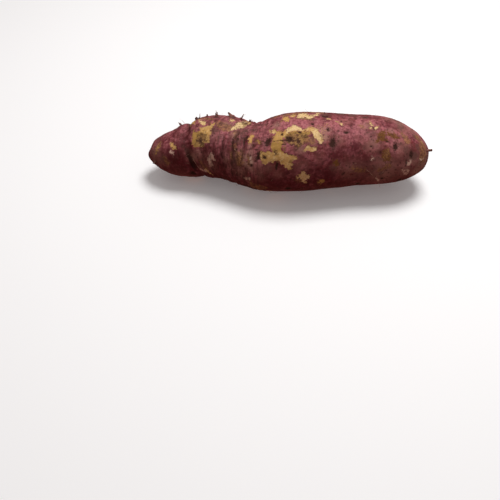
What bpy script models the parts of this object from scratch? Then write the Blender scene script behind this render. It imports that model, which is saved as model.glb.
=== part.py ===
"""A purple-skinned sweet potato: one storage root, lying on its belly.

The root lies along X with its resting spot at z = 0. Its left end is a waisted neck of
two lobes that turns away to the back, and its right end is the round, full one.
Dimensions are in millimetres and are turned into metres where the mesh is made.
"""

import math
import random
from collections import namedtuple

import bmesh
import bpy
import numpy as np
from mathutils import Vector, noise

MM = 0.001

# Driving dimensions
BODY_NAME = "sweet_potato"
AXIS_HEIGHT = 31.0  # of the belly's centre line over the surface it lies on
ROUND_TALL = 0.98  # a slice's half height, as a share of its radius
ROUND_DEEP = 1.04  # a slice's half depth, as a share of its radius
BELLY_SHEAR = 0.10  # how far the slices sag towards the back, as a share of the radius
FLAT_DEPTH = 0.8  # how much the resting spots are pressed flat

# Mesh fineness
SPOKES = 44
RING_SPACING = 3.8
FINE_RING_SPACING = 1.3
FINE_ZONE = (-92.0, -14.0)  # the wrinkled neck, along X

# A slice of the root. lean_top and lean_front say how far the slice's top and front
# points lean along X, as growth rings do on a root that bends.
Slice = namedtuple("Slice", "x radius back rise lean_top lean_front")

SLICES = [
    Slice(-110.4, 0.0, 13.0, -11.2, 0.0, 0.0),
    Slice(-108.2, 5.4, 13.1, -10.8, -0.3, -0.1),
    Slice(-103.4, 10.9, 13.2, -10.3, -1.0, -0.5),
    Slice(-95.8, 15.8, 13.0, -10.1, -2.0, -1.0),
    Slice(-87.0, 18.6, 12.6, -10.1, -4.2, -1.6),
    Slice(-78.5, 19.9, 13.0, -9.3, -7.3, -2.3),
    Slice(-69.3, 21.2, 13.8, -7.7, -9.2, -2.8),
    Slice(-63.0, 23.7, 15.0, -6.5, -8.5, -3.6),
    Slice(-55.0, 24.9, 14.7, -5.3, -6.6, -6.3),
    Slice(-45.0, 25.0, 12.2, -4.8, -4.8, -9.4),
    Slice(-33.5, 24.6, 6.2, -4.3, -3.4, -10.4),
    Slice(-26.0, 25.2, 2.6, -3.7, -1.1, -9.6),
    Slice(-18.0, 28.1, 1.0, -2.4, 0.2, -6.4),
    Slice(-8.0, 30.2, 0.3, -0.8, 0.4, -2.8),
    Slice(6.0, 31.0, 0.2, 0.0, 0.0, -0.9),
    Slice(20.0, 30.6, 1.0, 0.0, 0.0, 0.0),
    Slice(36.0, 29.5, 2.4, -0.3, 0.0, 0.0),
    Slice(52.0, 28.5, 3.7, -0.3, 0.0, 0.0),
    Slice(66.0, 27.5, 4.0, -0.3, 0.0, 0.0),
    Slice(79.0, 25.2, 3.0, -0.5, 0.0, 0.0),
    Slice(90.0, 21.2, 1.7, -0.9, 0.0, 0.0),
    Slice(98.6, 15.9, 1.2, -1.2, 0.0, 0.0),
    Slice(104.4, 10.0, 0.9, -1.4, 0.0, 0.0),
    Slice(107.6, 0.0, 0.8, -1.4, 0.0, 0.0),
]

# A crease runs round the root at a slice. deepest is the angle where it bites most:
# 0 is the top, 90 the front, 180 the bottom and 270 the back.
Crease = namedtuple("Crease", "x depth half_width deepest evenness")

CREASES = [
    Crease(-84.5, 0.45, 1.6, 60, 0.6),
    Crease(-69.3, 2.2, 1.9, 70, 0.75),
    Crease(-58.5, 0.35, 1.5, 90, 0.5),
    Crease(-42.0, 0.60, 1.5, 60, 0.5),
    Crease(-35.5, 1.50, 1.7, 30, 0.65),
    Crease(-29.0, 0.90, 1.5, 20, 0.6),
    Crease(-23.5, 0.80, 1.6, 330, 0.5),
]

# A lip is a swollen ring beside a crease.
Lip = namedtuple("Lip", "x height half_width angle")

LIPS = [
    Lip(-64.5, 0.8, 3.0, 70),
    Lip(-39.0, 0.5, 2.2, 40),
    Lip(-32.3, 0.5, 2.0, 20),
]

# An eye is a shallow pit in the skin, longer around the root than along it.
Eye = namedtuple("Eye", "x angle across around depth")

EYES = [
    Eye(-17.0, 30, 2.8, 3.8, 1.0),
    Eye(-1.0, 30, 3.0, 3.4, 1.1),
    Eye(30.0, 36, 2.4, 3.8, 1.0),
    Eye(77.0, 42, 2.2, 3.0, 0.9),
    Eye(26.0, 342, 2.6, 3.4, 0.9),
    Eye(-11.0, 69, 1.8, 3.4, 0.7),
    Eye(-66.0, 33, 2.4, 3.0, 0.6),
    Eye(90.0, 57, 4.0, 6.0, 0.8),
]

HIDDEN_EYE_ROWS = (120, 168, 212, 258, 305)
HIDDEN_EYE_SPACING = 30.0

LUMP_SIZE = 38.0
LUMP_HEIGHT = 0.9
FURROW_COUNT = 5
FURROW_DEPTH = 0.35

# A rootlet stands out of the skin: broken-off feeder roots, thick ones near the neck.
Rootlet = namedtuple("Rootlet", "x angle thick long along around")

ROOTLETS = [
    Rootlet(-84.0, 328, 1.5, 3.0, -0.5, 0.0),
    Rootlet(-71.5, 330, 2.8, 2.2, -0.3, 0.0),
    Rootlet(-69.5, 322, 1.1, 3.4, 0.1, -0.1),
    Rootlet(-63.5, 327, 1.8, 1.6, 0.0, 0.0),
    Rootlet(-56.0, 323, 2.2, 4.4, -0.1, 0.1),
    Rootlet(-43.5, 324, 4.0, 3.8, -0.8, 0.0),
    Rootlet(-37.5, 322, 1.5, 4.4, 0.7, 0.0),
    Rootlet(-30.0, 326, 2.0, 1.9, 0.5, 0.0),
    Rootlet(-26.5, 318, 1.3, 1.8, -0.2, 0.0),
    Rootlet(-105.2, 96, 2.8, 1.8, -0.4, 0.2),
]
TAIL_ROOTLET = Rootlet(106.6, 345, 1.5, 3.4, 0.0, 0.0)

SCATTER_SEED = 7
SCATTERED_ROOTLETS = 9
SCATTER_ZONE = (-88.0, -24.0)
SCATTER_ANGLES = (262.0, 316.0)
ROOTLET_SUNK = 1.6

SKIN_COLOR = (0.190, 0.052, 0.060, 1.0)
SKIN_ROUGHNESS = 0.55


def clear_scene():
    for obj in list(bpy.data.objects):
        bpy.data.objects.remove(obj)


def make_collection(name):
    collection = bpy.data.collections.new(name)
    bpy.context.scene.collection.children.link(collection)
    return collection


def make_material(name, color, roughness):
    material = bpy.data.materials.new(name)
    material.use_nodes = True
    shader = material.node_tree.nodes["Principled BSDF"]
    shader.inputs["Base Color"].default_value = color
    shader.inputs["Roughness"].default_value = roughness
    shader.inputs["Metallic"].default_value = 0.0
    return material


def profile_lengths():
    """The distance of each slice from the left tip, measured along the profile."""
    steps = [
        math.hypot(b.x - a.x, b.radius - a.radius) for a, b in zip(SLICES, SLICES[1:])
    ]
    return np.concatenate([[0.0], np.cumsum(steps)])


def mirrored_columns():
    """Slice values with a ghost slice past each tip, so that both tips come out round."""
    lengths = profile_lengths()
    rows = np.array(SLICES)
    mirror = np.array([1.0, -1.0, 1.0, 1.0, 1.0, 1.0])
    rows = np.vstack([rows[1] * mirror, rows, rows[-2] * mirror])
    end = lengths[-1]
    lengths = np.concatenate([[-lengths[1]], lengths, [2 * end - lengths[-2]]])
    return lengths, rows


LENGTHS, COLUMNS = mirrored_columns()
TOTAL_LENGTH = LENGTHS[-2]


def slice_at(length):
    """The slice at that distance along the profile, on a smooth curve through all."""
    last = len(LENGTHS) - 3
    i = int(np.clip(np.searchsorted(LENGTHS, length, side="right") - 1, 1, last))
    l0, l1, l2, l3 = LENGTHS[i - 1 : i + 3]
    p0, p1, p2, p3 = COLUMNS[i - 1 : i + 3]
    span = l2 - l1
    before, here, after = (p1 - p0) / (l1 - l0), (p2 - p1) / span, (p3 - p2) / (l3 - l2)
    start = (before * span + here * (l1 - l0)) / (l2 - l0)
    finish = (here * (l3 - l2) + after * span) / (l3 - l1)
    t = (length - l1) / span
    value = (
        (2 * t**3 - 3 * t**2 + 1) * p1
        + (t**3 - 2 * t**2 + t) * span * start
        + (3 * t**2 - 2 * t**3) * p2
        + (t**3 - t**2) * span * finish
    )
    return Slice(*value)


def skin_x(here, angle):
    """Where along X the leaning slice meets the skin at that angle."""
    turn = math.radians(angle)
    return here.x + here.lean_top * math.cos(turn) + here.lean_front * math.sin(turn)


def length_at(x, angle):
    """The distance along the profile of the slice that meets the skin at x and angle."""
    low, high = 0.0, TOTAL_LENGTH
    while high - low > 0.01:
        middle = (low + high) / 2
        if skin_x(slice_at(middle), angle) < x:
            low = middle
        else:
            high = middle
    return (low + high) / 2


def ring_lengths():
    """Where the mesh has its rings: closer together in the wrinkled neck."""
    found = [0.0]
    while found[-1] < TOTAL_LENGTH:
        x = slice_at(found[-1]).x
        fine = FINE_ZONE[0] < x < FINE_ZONE[1]
        found.append(found[-1] + (FINE_RING_SPACING if fine else RING_SPACING))
    found = np.array(found)
    return found * TOTAL_LENGTH / found[-1]


def turn_between(a, b):
    """The smaller turn from angle b to angle a, in degrees."""
    return (a - b + 180.0) % 360.0 - 180.0


def bell(distance, half_width):
    return math.exp(-((distance / half_width) ** 2))


def crease_depth(x, angle):
    depth = 0.0
    for crease in CREASES:
        turn = math.radians(turn_between(angle, crease.deepest))
        share = crease.evenness + (1 - crease.evenness) * math.cos(turn)
        depth += crease.depth * share * bell(x - crease.x, crease.half_width)
    return depth


def lip_height(x, angle):
    height = 0.0
    for lip in LIPS:
        share = 0.5 + 0.5 * math.cos(math.radians(turn_between(angle, lip.angle)))
        height += lip.height * share * bell(x - lip.x, lip.half_width)
    return height


def hidden_eyes():
    """Eyes in rows along the sides that face down and back, as the root grows them."""
    draw = random.Random(SCATTER_SEED)
    found = []
    for row in HIDDEN_EYE_ROWS:
        x = -84.0 + draw.uniform(0, HIDDEN_EYE_SPACING)
        while x < 96.0:
            angle = row + draw.uniform(-9, 9)
            found.append(Eye(x, angle, 2.2, draw.uniform(2.8, 4.2), 0.8))
            x += HIDDEN_EYE_SPACING * draw.uniform(0.7, 1.3)
    return found


ALL_EYES = EYES + hidden_eyes()


def eye_depth(x, angle, radius):
    depth = 0.0
    for eye in ALL_EYES:
        along = (x - eye.x) / eye.across
        if abs(along) > 3:
            continue
        around = math.radians(turn_between(angle, eye.angle)) * radius / eye.around
        depth += eye.depth * math.exp(-(along**2) - around**2)
    return depth


def furrow_depth(x, angle):
    """Broad, faint lengthwise furrows between the rows of eyes."""
    wander = 14.0 * math.sin(x / 31.0)
    wave = math.cos(math.radians(FURROW_COUNT * (angle + wander)))
    return FURROW_DEPTH * wave


def raw_point(length, angle):
    """A point of the skin in millimetres, before the resting spots are pressed flat."""
    here = slice_at(length)
    turn = math.radians(angle)
    up, front = math.cos(turn), math.sin(turn)
    x = skin_x(here, angle)
    radius = here.radius
    if radius > 0.01:
        tip_fade = min(1.0, radius / 12.0)
        relief = lip_height(here.x, angle) - crease_depth(here.x, angle)
        relief -= eye_depth(x, angle, radius) + furrow_depth(x, angle)
        spot = Vector((x, radius * up, radius * front)) / LUMP_SIZE
        relief += LUMP_HEIGHT * noise.noise(spot)
        radius += relief * tip_fade
    sag = BELLY_SHEAR * radius * (1 - up) / 2
    y = here.back + sag - ROUND_DEEP * radius * front
    z = AXIS_HEIGHT + here.rise + ROUND_TALL * radius * up
    return Vector((x, y, z))


def body_mesh(rings):
    """A sphere primitive whose rings and spokes are moved onto the root's skin."""
    shape = bmesh.new()
    rows = len(rings) - 1
    bmesh.ops.create_uvsphere(shape, u_segments=SPOKES, v_segments=rows, radius=1.0)
    for vertex in shape.verts:
        away_from_pole = math.degrees(math.acos(max(-1.0, min(1.0, vertex.co.z))))
        ring = round(away_from_pole * rows / 180.0)
        angle = math.degrees(math.atan2(vertex.co.y, vertex.co.x)) % 360.0
        vertex.co = raw_point(rings[ring], angle)
    lowest = min(vertex.co.z for vertex in shape.verts)
    for vertex in shape.verts:
        vertex.co.z = max(0.0, vertex.co.z - lowest - FLAT_DEPTH)
    bmesh.ops.recalc_face_normals(shape, faces=shape.faces)
    return shape, lowest + FLAT_DEPTH


def skin_frame(x, angle, drop):
    """The point of the skin at x and angle, and the outward, lengthwise and around directions there."""
    length = length_at(x, angle)
    here = raw_point(length, angle)
    lengthwise = (raw_point(length + 1.0, angle) - raw_point(length - 1.0, angle)).normalized()
    around = (raw_point(length, angle + 3.0) - raw_point(length, angle - 3.0)).normalized()
    outward = lengthwise.cross(around).normalized()
    here.z -= drop
    centre = slice_at(length)
    middle = Vector((centre.x, centre.back, AXIS_HEIGHT + centre.rise - drop))
    if outward.dot(here - middle) < 0:
        outward = -outward
    return here, outward, lengthwise, around


def tapered_tube(name, points, radii, collection):
    """A short tube through the points, as one closed mesh object."""
    curve = bpy.data.curves.new(name + "_line", "CURVE")
    curve.dimensions = "3D"
    curve.bevel_depth = 1.0
    curve.bevel_resolution = 0
    curve.use_fill_caps = True
    spline = curve.splines.new("POLY")
    spline.points.add(len(points) - 1)
    for point, place, radius in zip(spline.points, points, radii):
        point.co = (*(place * MM), 1.0)
        point.radius = radius * MM
    line = bpy.data.objects.new(name + "_line", curve)
    bpy.context.scene.collection.objects.link(line)
    bpy.context.view_layer.update()
    graph = bpy.context.evaluated_depsgraph_get()
    mesh = bpy.data.meshes.new_from_object(line.evaluated_get(graph))
    shape = bmesh.new()
    shape.from_mesh(mesh)
    bmesh.ops.remove_doubles(shape, verts=shape.verts, dist=0.01 * MM)
    bmesh.ops.recalc_face_normals(shape, faces=shape.faces)
    shape.to_mesh(mesh)
    shape.free()
    tube = bpy.data.objects.new(name, mesh)
    tube.matrix_world = line.matrix_world.copy()
    collection.objects.link(tube)
    bpy.data.objects.remove(line)
    return tube


def grow_rootlet(index, rootlet, frame, collection):
    """A rootlet from under the skin to its broken end, bending as it goes."""
    here, outward, lengthwise, around = frame
    lean = lengthwise * rootlet.along + around * rootlet.around
    stations = ((0.0, 1.0), (0.35, 0.85), (0.7, 0.6), (1.0, 0.25))
    points = [here - outward * ROOTLET_SUNK]
    radii = [rootlet.thick / 2]
    for reach, width in stations:
        points.append(here + (outward + lean * reach) * rootlet.long * reach)
        radii.append(rootlet.thick / 2 * width)
    tapered_tube(f"rootlet_{index:02d}", points, radii, collection)


def scattered_rootlets():
    """More broken rootlets over the back of the neck."""
    draw = random.Random(SCATTER_SEED)
    found = []
    for index in range(SCATTERED_ROOTLETS):
        share = (index + draw.uniform(0.2, 0.8)) / SCATTERED_ROOTLETS
        x = SCATTER_ZONE[0] + share * (SCATTER_ZONE[1] - SCATTER_ZONE[0])
        found.append(
            Rootlet(
                x,
                draw.uniform(*SCATTER_ANGLES),
                draw.uniform(1.2, 1.9),
                draw.uniform(2.2, 4.2),
                draw.uniform(-0.6, 0.6),
                draw.uniform(-0.3, 0.3),
            )
        )
    return found


def tail_frame(drop):
    """Where the thin tail leaves the right tip, a little over its middle."""
    x_out = Vector((1.0, 0.0, 0.12)).normalized()
    here = raw_point(length_at(TAIL_ROOTLET.x, TAIL_ROOTLET.angle), TAIL_ROOTLET.angle)
    here.z -= drop
    return here, x_out, Vector((0.0, 1.0, 0.0)), Vector((0.0, 0.0, 1.0))


def fuse(body, collection):
    """Joins the collection's solids to the body, then removes them."""
    union = body.modifiers.new("rootlets", "BOOLEAN")
    union.operation = "UNION"
    union.operand_type = "COLLECTION"
    union.collection = collection
    union.solver = "EXACT"
    bpy.context.view_layer.update()
    graph = bpy.context.evaluated_depsgraph_get()
    fused = bpy.data.meshes.new_from_object(body.evaluated_get(graph))
    body.modifiers.remove(union)
    body.data = fused
    for obj in list(collection.objects):
        bpy.data.objects.remove(obj)
    bpy.data.collections.remove(collection)


def centre_over_origin(mesh):
    """Moves the mesh so that its bounding box stands centred over the origin."""
    corners = np.array([v.co[:] for v in mesh.vertices])
    middle = (corners.min(axis=0) + corners.max(axis=0)) / 2
    for vertex in mesh.vertices:
        vertex.co.x -= middle[0]
        vertex.co.y -= middle[1]


def build():
    clear_scene()
    parts = make_collection("sweet_potato_parts")
    growing = make_collection("rootlets")

    shape, drop = body_mesh(ring_lengths())
    bmesh.ops.scale(shape, vec=(MM, MM, MM), verts=shape.verts)
    mesh = bpy.data.meshes.new(BODY_NAME)
    shape.to_mesh(mesh)
    shape.free()
    body = bpy.data.objects.new(BODY_NAME, mesh)
    parts.objects.link(body)

    for index, rootlet in enumerate(ROOTLETS + scattered_rootlets()):
        frame = skin_frame(rootlet.x, rootlet.angle, drop)
        grow_rootlet(index, rootlet, frame, growing)
    grow_rootlet(99, TAIL_ROOTLET, tail_frame(drop), growing)
    fuse(body, growing)

    centre_over_origin(body.data)
    body.data.materials.clear()
    body.data.materials.append(make_material("skin", SKIN_COLOR, SKIN_ROUGHNESS))
    body.data.shade_smooth()


build()
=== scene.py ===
# %% [markdown]
# # A purple-skinned sweet potato
#
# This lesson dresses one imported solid, a sweet potato that lies on its belly. The solid
# already has the right size and form, so nothing here moves or resizes it. What it lacks
# is everything that the eye reads as a real root: fine wrinkles in the neck, eyes,
# scraped patches that show tan cork, broken rootlets, hairs and soil.
#
# The plan is to wrap the solid in a fine skin, carve relief into that skin with numpy,
# note on each point of it what lies there (a scrape, an eye, a crease), and let one
# material read those notes. Lengths are in millimetres until they go into a mesh, and
# those of the floor and the lamp are in metres. Every random draw starts from a seed, so
# that each run grows the same root.

import math
import random
from collections import namedtuple

import bmesh
import bpy
import numpy as np
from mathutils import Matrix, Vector, noise
from mathutils.bvhtree import BVHTree


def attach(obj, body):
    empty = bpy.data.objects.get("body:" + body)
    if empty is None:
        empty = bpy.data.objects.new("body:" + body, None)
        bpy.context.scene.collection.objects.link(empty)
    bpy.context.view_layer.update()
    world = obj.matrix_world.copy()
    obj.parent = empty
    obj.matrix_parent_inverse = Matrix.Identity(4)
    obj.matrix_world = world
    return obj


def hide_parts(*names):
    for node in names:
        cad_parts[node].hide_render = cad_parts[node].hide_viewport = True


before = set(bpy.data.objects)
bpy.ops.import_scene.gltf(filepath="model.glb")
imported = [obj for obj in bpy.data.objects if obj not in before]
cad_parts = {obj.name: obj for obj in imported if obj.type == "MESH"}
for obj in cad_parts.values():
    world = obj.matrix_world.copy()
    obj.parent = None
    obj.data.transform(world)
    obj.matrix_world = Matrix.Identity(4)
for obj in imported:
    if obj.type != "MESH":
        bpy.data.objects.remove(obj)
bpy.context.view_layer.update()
NODE = "sweet_potato"
MM = 0.001

# %% [markdown]
# ## The camera
#
# The camera comes first, because later steps pin marks to the skin as seen from it. The
# root is seen from its front and from above, a little off the middle of the picture. Two
# facts fix everything: how many millimetres of the root one picture point covers, and
# where in the picture the middle of the root lies. The camera is placed from those two,
# so that the lens itself needs no shift.

# %% Place the camera
PICTURE_SIZE = 500.0
LENS = 50.0
SENSOR = 36.0
FOCAL = LENS / SENSOR * PICTURE_SIZE
VIEW_ELEVATION = 37.0
POINT_SIZE = 0.775
AIM = Vector((0.0, 0.0, 31.0))
AIM_COLUMN = 288.6
AIM_ROW = 147.0
RIGHTWARD = Vector((1.0, 0.0, 0.0))


def place_camera():
    """A camera that sees AIM at AIM_COLUMN and AIM_ROW, from the elevation given above."""
    distance = FOCAL * POINT_SIZE
    across = (AIM_COLUMN - PICTURE_SIZE / 2) * POINT_SIZE
    above = (PICTURE_SIZE / 2 - AIM_ROW) * POINT_SIZE
    pitch = math.radians(VIEW_ELEVATION) + math.atan2(above, distance)
    forward = Vector((0.0, math.cos(pitch), -math.sin(pitch)))
    upward = Vector((0.0, math.sin(pitch), math.cos(pitch)))
    eye = AIM - forward * distance - upward * above - RIGHTWARD * across
    lens = bpy.data.cameras.new("camera")
    lens.lens = LENS
    lens.sensor_width = SENSOR
    camera = bpy.data.objects.new("camera", lens)
    camera.location = eye * MM
    camera.rotation_euler = (math.pi / 2 - pitch, 0.0, 0.0)
    bpy.context.scene.collection.objects.link(camera)
    bpy.context.scene.camera = camera
    return eye, forward, upward


EYE, FORWARD, UPWARD = place_camera()
print("the camera stands at, in mm:", [round(v) for v in EYE])

# %% [markdown]
# ## A fine skin round the solid
#
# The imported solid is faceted, with spokes about 4 mm apart. A fine skin could be drawn
# from nothing, but then it might miss the solid. So it grows out of the solid itself: a
# Remesh modifier in voxel mode fills it with small even squares, and a Smooth modifier
# irons the facets out. The thin ends of the solid's rootlets can break off as loose
# specks on the way, and those are deleted.

# %% Wrap the solid in small even squares
VOXEL = 0.74
IRONING_STRENGTH = 0.5
IRONING_PASSES = 21


def evaluated_copy(source, name):
    """The object's mesh with its modifiers applied, as a new object."""
    bpy.context.view_layer.update()
    graph = bpy.context.evaluated_depsgraph_get()
    mesh = bpy.data.meshes.new_from_object(source.evaluated_get(graph))
    copy = bpy.data.objects.new(name, mesh)
    bpy.context.scene.collection.objects.link(copy)
    return copy


def wrap_solid():
    """The skin: the solid's own mesh, cut into even squares and ironed."""
    wrap = bpy.data.objects.new("wrap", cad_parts[NODE].data.copy())
    bpy.context.scene.collection.objects.link(wrap)
    squares = wrap.modifiers.new("squares", "REMESH")
    squares.mode = "VOXEL"
    squares.voxel_size = VOXEL * MM
    ironing = wrap.modifiers.new("ironing", "SMOOTH")
    ironing.factor = IRONING_STRENGTH
    ironing.iterations = IRONING_PASSES
    fine = evaluated_copy(wrap, "skin")
    bpy.data.objects.remove(wrap)
    return fine


def keep_largest_part(piece):
    """Deletes every loose speck, and keeps the root. Gives how many specks there were."""
    shape = bmesh.new()
    shape.from_mesh(piece.data)
    left = set(shape.verts)
    parts = []
    while left:
        part = [left.pop()]
        for corner in part:
            for edge in corner.link_edges:
                neighbour = edge.other_vert(corner)
                if neighbour in left:
                    left.remove(neighbour)
                    part.append(neighbour)
        parts.append(part)
    parts.sort(key=len)
    specks = [corner for part in parts[:-1] for corner in part]
    bmesh.ops.delete(shape, geom=specks, context="VERTS")
    shape.to_mesh(piece.data)
    shape.free()
    return len(parts) - 1


skin = wrap_solid()
print("specks taken away:", keep_largest_part(skin))
print("the skin has", len(skin.data.polygons), "squares")

# %% [markdown]
# ## Draw the stumps back
#
# The solid has its broken rootlets as short plain limbs. Finer ones grow on the skin
# later, so the limbs are drawn back into it first. To smooth the whole skin until they
# are gone would flatten the root as well. So a copy of the points is smoothed, and the
# points that stood proud of that copy are moved onto it, with a soft border around them.
# The pointed end of the root would count as proud too, so it stays out of this.

# %% Draw the stumps back into the skin
SINKING_PASSES = 90
STUMP_START = 0.9
STUMP_FULL = 1.5
POINTED_END = 9.0
SPREADING_ROUNDS = 4
SPREADING = 0.9


def points_of(piece):
    """The places of a mesh's points, in millimetres."""
    flat = np.empty(len(piece.data.vertices) * 3)
    piece.data.vertices.foreach_get("co", flat)
    return flat.reshape(-1, 3) / MM


def normals_of(piece):
    """The way that the surface faces at each of a mesh's points."""
    flat = np.empty(len(piece.data.vertices) * 3)
    piece.data.vertices.foreach_get("normal", flat)
    return flat.reshape(-1, 3)


def sink_stumps(piece):
    """Draws the stumps back. Gives how many points moved, and the height of the highest."""
    mesh = piece.data
    points, normals = points_of(piece), normals_of(piece)
    edges = np.empty(len(mesh.edges) * 2, np.int32)
    mesh.edges.foreach_get("vertices", edges)
    starts, ends = edges.reshape(-1, 2).T
    counts = np.bincount(edges, minlength=len(points))

    def evened(values):
        """Each value replaced by the mean of its neighbours along the edges of the mesh."""
        total = np.bincount(starts, values[ends], len(values))
        total += np.bincount(ends, values[starts], len(values))
        return total / counts

    even = points
    for _ in range(SINKING_PASSES):
        even = np.column_stack([evened(column) for column in even.T])
    proud = np.linalg.norm(points - even, axis=1)
    share = np.clip((proud - STUMP_START) / (STUMP_FULL - STUMP_START), 0.0, 1.0)
    share *= ((points - even) * normals).sum(axis=1) > 0
    share *= points[:, 0] > points[:, 0].min() + POINTED_END
    for _ in range(SPREADING_ROUNDS):
        share = np.maximum(share, SPREADING * evened(share))
    points = points + (even - points) * share[:, None]
    mesh.vertices.foreach_set("co", (points * MM).ravel())
    mesh.update()
    return int((share > 0.5).sum()), round(proud.max(), 2)


print("points drawn back, and the highest stump in mm:", sink_stumps(skin))

# %% [markdown]
# ## Where a point is on the root
#
# Marks on a root are easiest to place by two numbers: how far along the root they are,
# and at what angle round it. Angle 0 is the top, 90 the front, 180 the underside and 270
# the back. For that the script needs the root's middle line, and it measures it from the
# skin: halfway between the outermost points of each slice.
#
# A root that bends grows rings that lean. The lean is given at a few places, and the
# ring number of a point is its place along the root with that lean taken out. Creases
# and wrinkles then follow the rings.

# %% Measure the middle line
SLICE_STEP = 2.0
FIRST_SLICE = 1.5
LAST_SLICE = 1.0


def middle_line(points):
    """Stations along X with the middle of the slice there, as three arrays."""
    first, last = points[:, 0].min() + FIRST_SLICE, points[:, 0].max() - LAST_SLICE
    stations = np.arange(first, last, SLICE_STEP)
    middles = []
    for station in stations:
        near = points[np.abs(points[:, 0] - station) < SLICE_STEP]
        middles.append((near.min(axis=0) + near.max(axis=0)) / 2)
    middles = np.array(middles)
    return stations, middles[:, 1], middles[:, 2]


POINTS = points_of(skin)
NORMALS = normals_of(skin)
STATIONS, MIDDLE_Y, MIDDLE_Z = middle_line(POINTS)
print("the middle line has", len(STATIONS), "stations")


# %% Measure the leaning rings
Lean = namedtuple("Lean", "along top front")
LEANS = [
    Lean(-104.0, 0.0, 0.0),
    Lean(-87.0, -4.2, -1.6),
    Lean(-69.0, -9.2, -2.8),
    Lean(-55.0, -6.6, -6.3),
    Lean(-45.0, -4.8, -9.4),
    Lean(-33.0, -3.4, -10.4),
    Lean(-18.0, 0.2, -6.4),
    Lean(-8.0, 0.4, -2.8),
    Lean(12.0, 0.0, 0.0),
]
LEAN_ROUNDS = 4


def middle_at(along):
    """The Y and Z of the middle line at that place along the root."""
    return np.interp(along, STATIONS, MIDDLE_Y), np.interp(along, STATIONS, MIDDLE_Z)


def around(points):
    """The angle round the root of each point, in radians, and its distance from the middle."""
    middle_y, middle_z = middle_at(points[:, 0])
    back = points[:, 1] - middle_y
    up = points[:, 2] - middle_z
    return np.arctan2(-back, up), np.hypot(back, up)


def ring_number(along, angle):
    """The place along the root with the lean of its ring taken out."""
    ring = along.copy()
    places = [lean.along for lean in LEANS]
    for _ in range(LEAN_ROUNDS):
        top = np.interp(ring, places, [lean.top for lean in LEANS])
        front = np.interp(ring, places, [lean.front for lean in LEANS])
        ring = along - top * np.cos(angle) - front * np.sin(angle)
    return ring


ANGLE, RADIUS = around(POINTS)
RING = ring_number(POINTS[:, 0], ANGLE)
GROWN = np.column_stack([RING, -np.sin(ANGLE) * RADIUS, np.cos(ANGLE) * RADIUS])
print("the rings run from", RING.min().round(1), "to", RING.max().round(1))

# %% [markdown]
# ## Two ways to point at the skin
#
# Marks on the side that we see are pinned as a photographer would do it: by the column
# and row of the picture where they show. A ray goes from the camera through that place
# and stops on the skin, so the mark truly lies on the skin and is right from any side.
# Marks on the hidden sides are placed by their distance along the root and their angle.

# %% Make the two pointers
SURFACE = BVHTree.FromObject(skin, bpy.context.evaluated_depsgraph_get())
RAY_START = 80.0
MIDDLE_OF_ROOT = (290.0, 150.0)


def seen_at(column, row):
    """The point of the skin that shows at that place of the picture, in millimetres.
    Where the ray just misses the root, it is the point of the skin nearest to the ray."""
    right = (column - PICTURE_SIZE / 2) / FOCAL
    up = (PICTURE_SIZE / 2 - row) / FOCAL
    ray = (FORWARD + RIGHTWARD * right + UPWARD * up).normalized()
    hit = SURFACE.ray_cast(EYE * MM, ray)[0]
    if hit is not None:
        return hit / MM
    offsets = POINTS - np.array(EYE)
    beside = offsets - np.outer(offsets @ np.array(ray), np.array(ray))
    return Vector(POINTS[np.argmin(np.linalg.norm(beside, axis=1))])


def grown_at(along, degrees):
    """The point of the skin at that place along the root and that angle round it, and the
    direction from the middle line to it."""
    turn = math.radians(degrees)
    outward = Vector((0.0, -math.sin(turn), math.cos(turn)))
    middle = Vector((along, *middle_at(along)))
    hit = SURFACE.ray_cast((middle + outward * RAY_START) * MM, -outward)[0]
    return hit / MM, outward


def picture_places():
    """Where in the picture each point of the skin shows, and how squarely it faces us."""
    offsets = POINTS - np.array(EYE)
    depth = offsets @ np.array(FORWARD)
    columns = PICTURE_SIZE / 2 + FOCAL * offsets[:, 0] / depth
    rows = PICTURE_SIZE / 2 - FOCAL * (offsets @ np.array(UPWARD)) / depth
    towards_eye = -offsets / np.linalg.norm(offsets, axis=1)[:, None]
    return np.column_stack([columns, rows]), (NORMALS * towards_eye).sum(axis=1)


PICTURE_PLACES, FACING = picture_places()
print("the middle of the root in view is at", [round(v, 1) for v in seen_at(*MIDDLE_OF_ROOT)])
print("points that face the camera:", int((FACING > 0).sum()), "of", len(POINTS))
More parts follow.
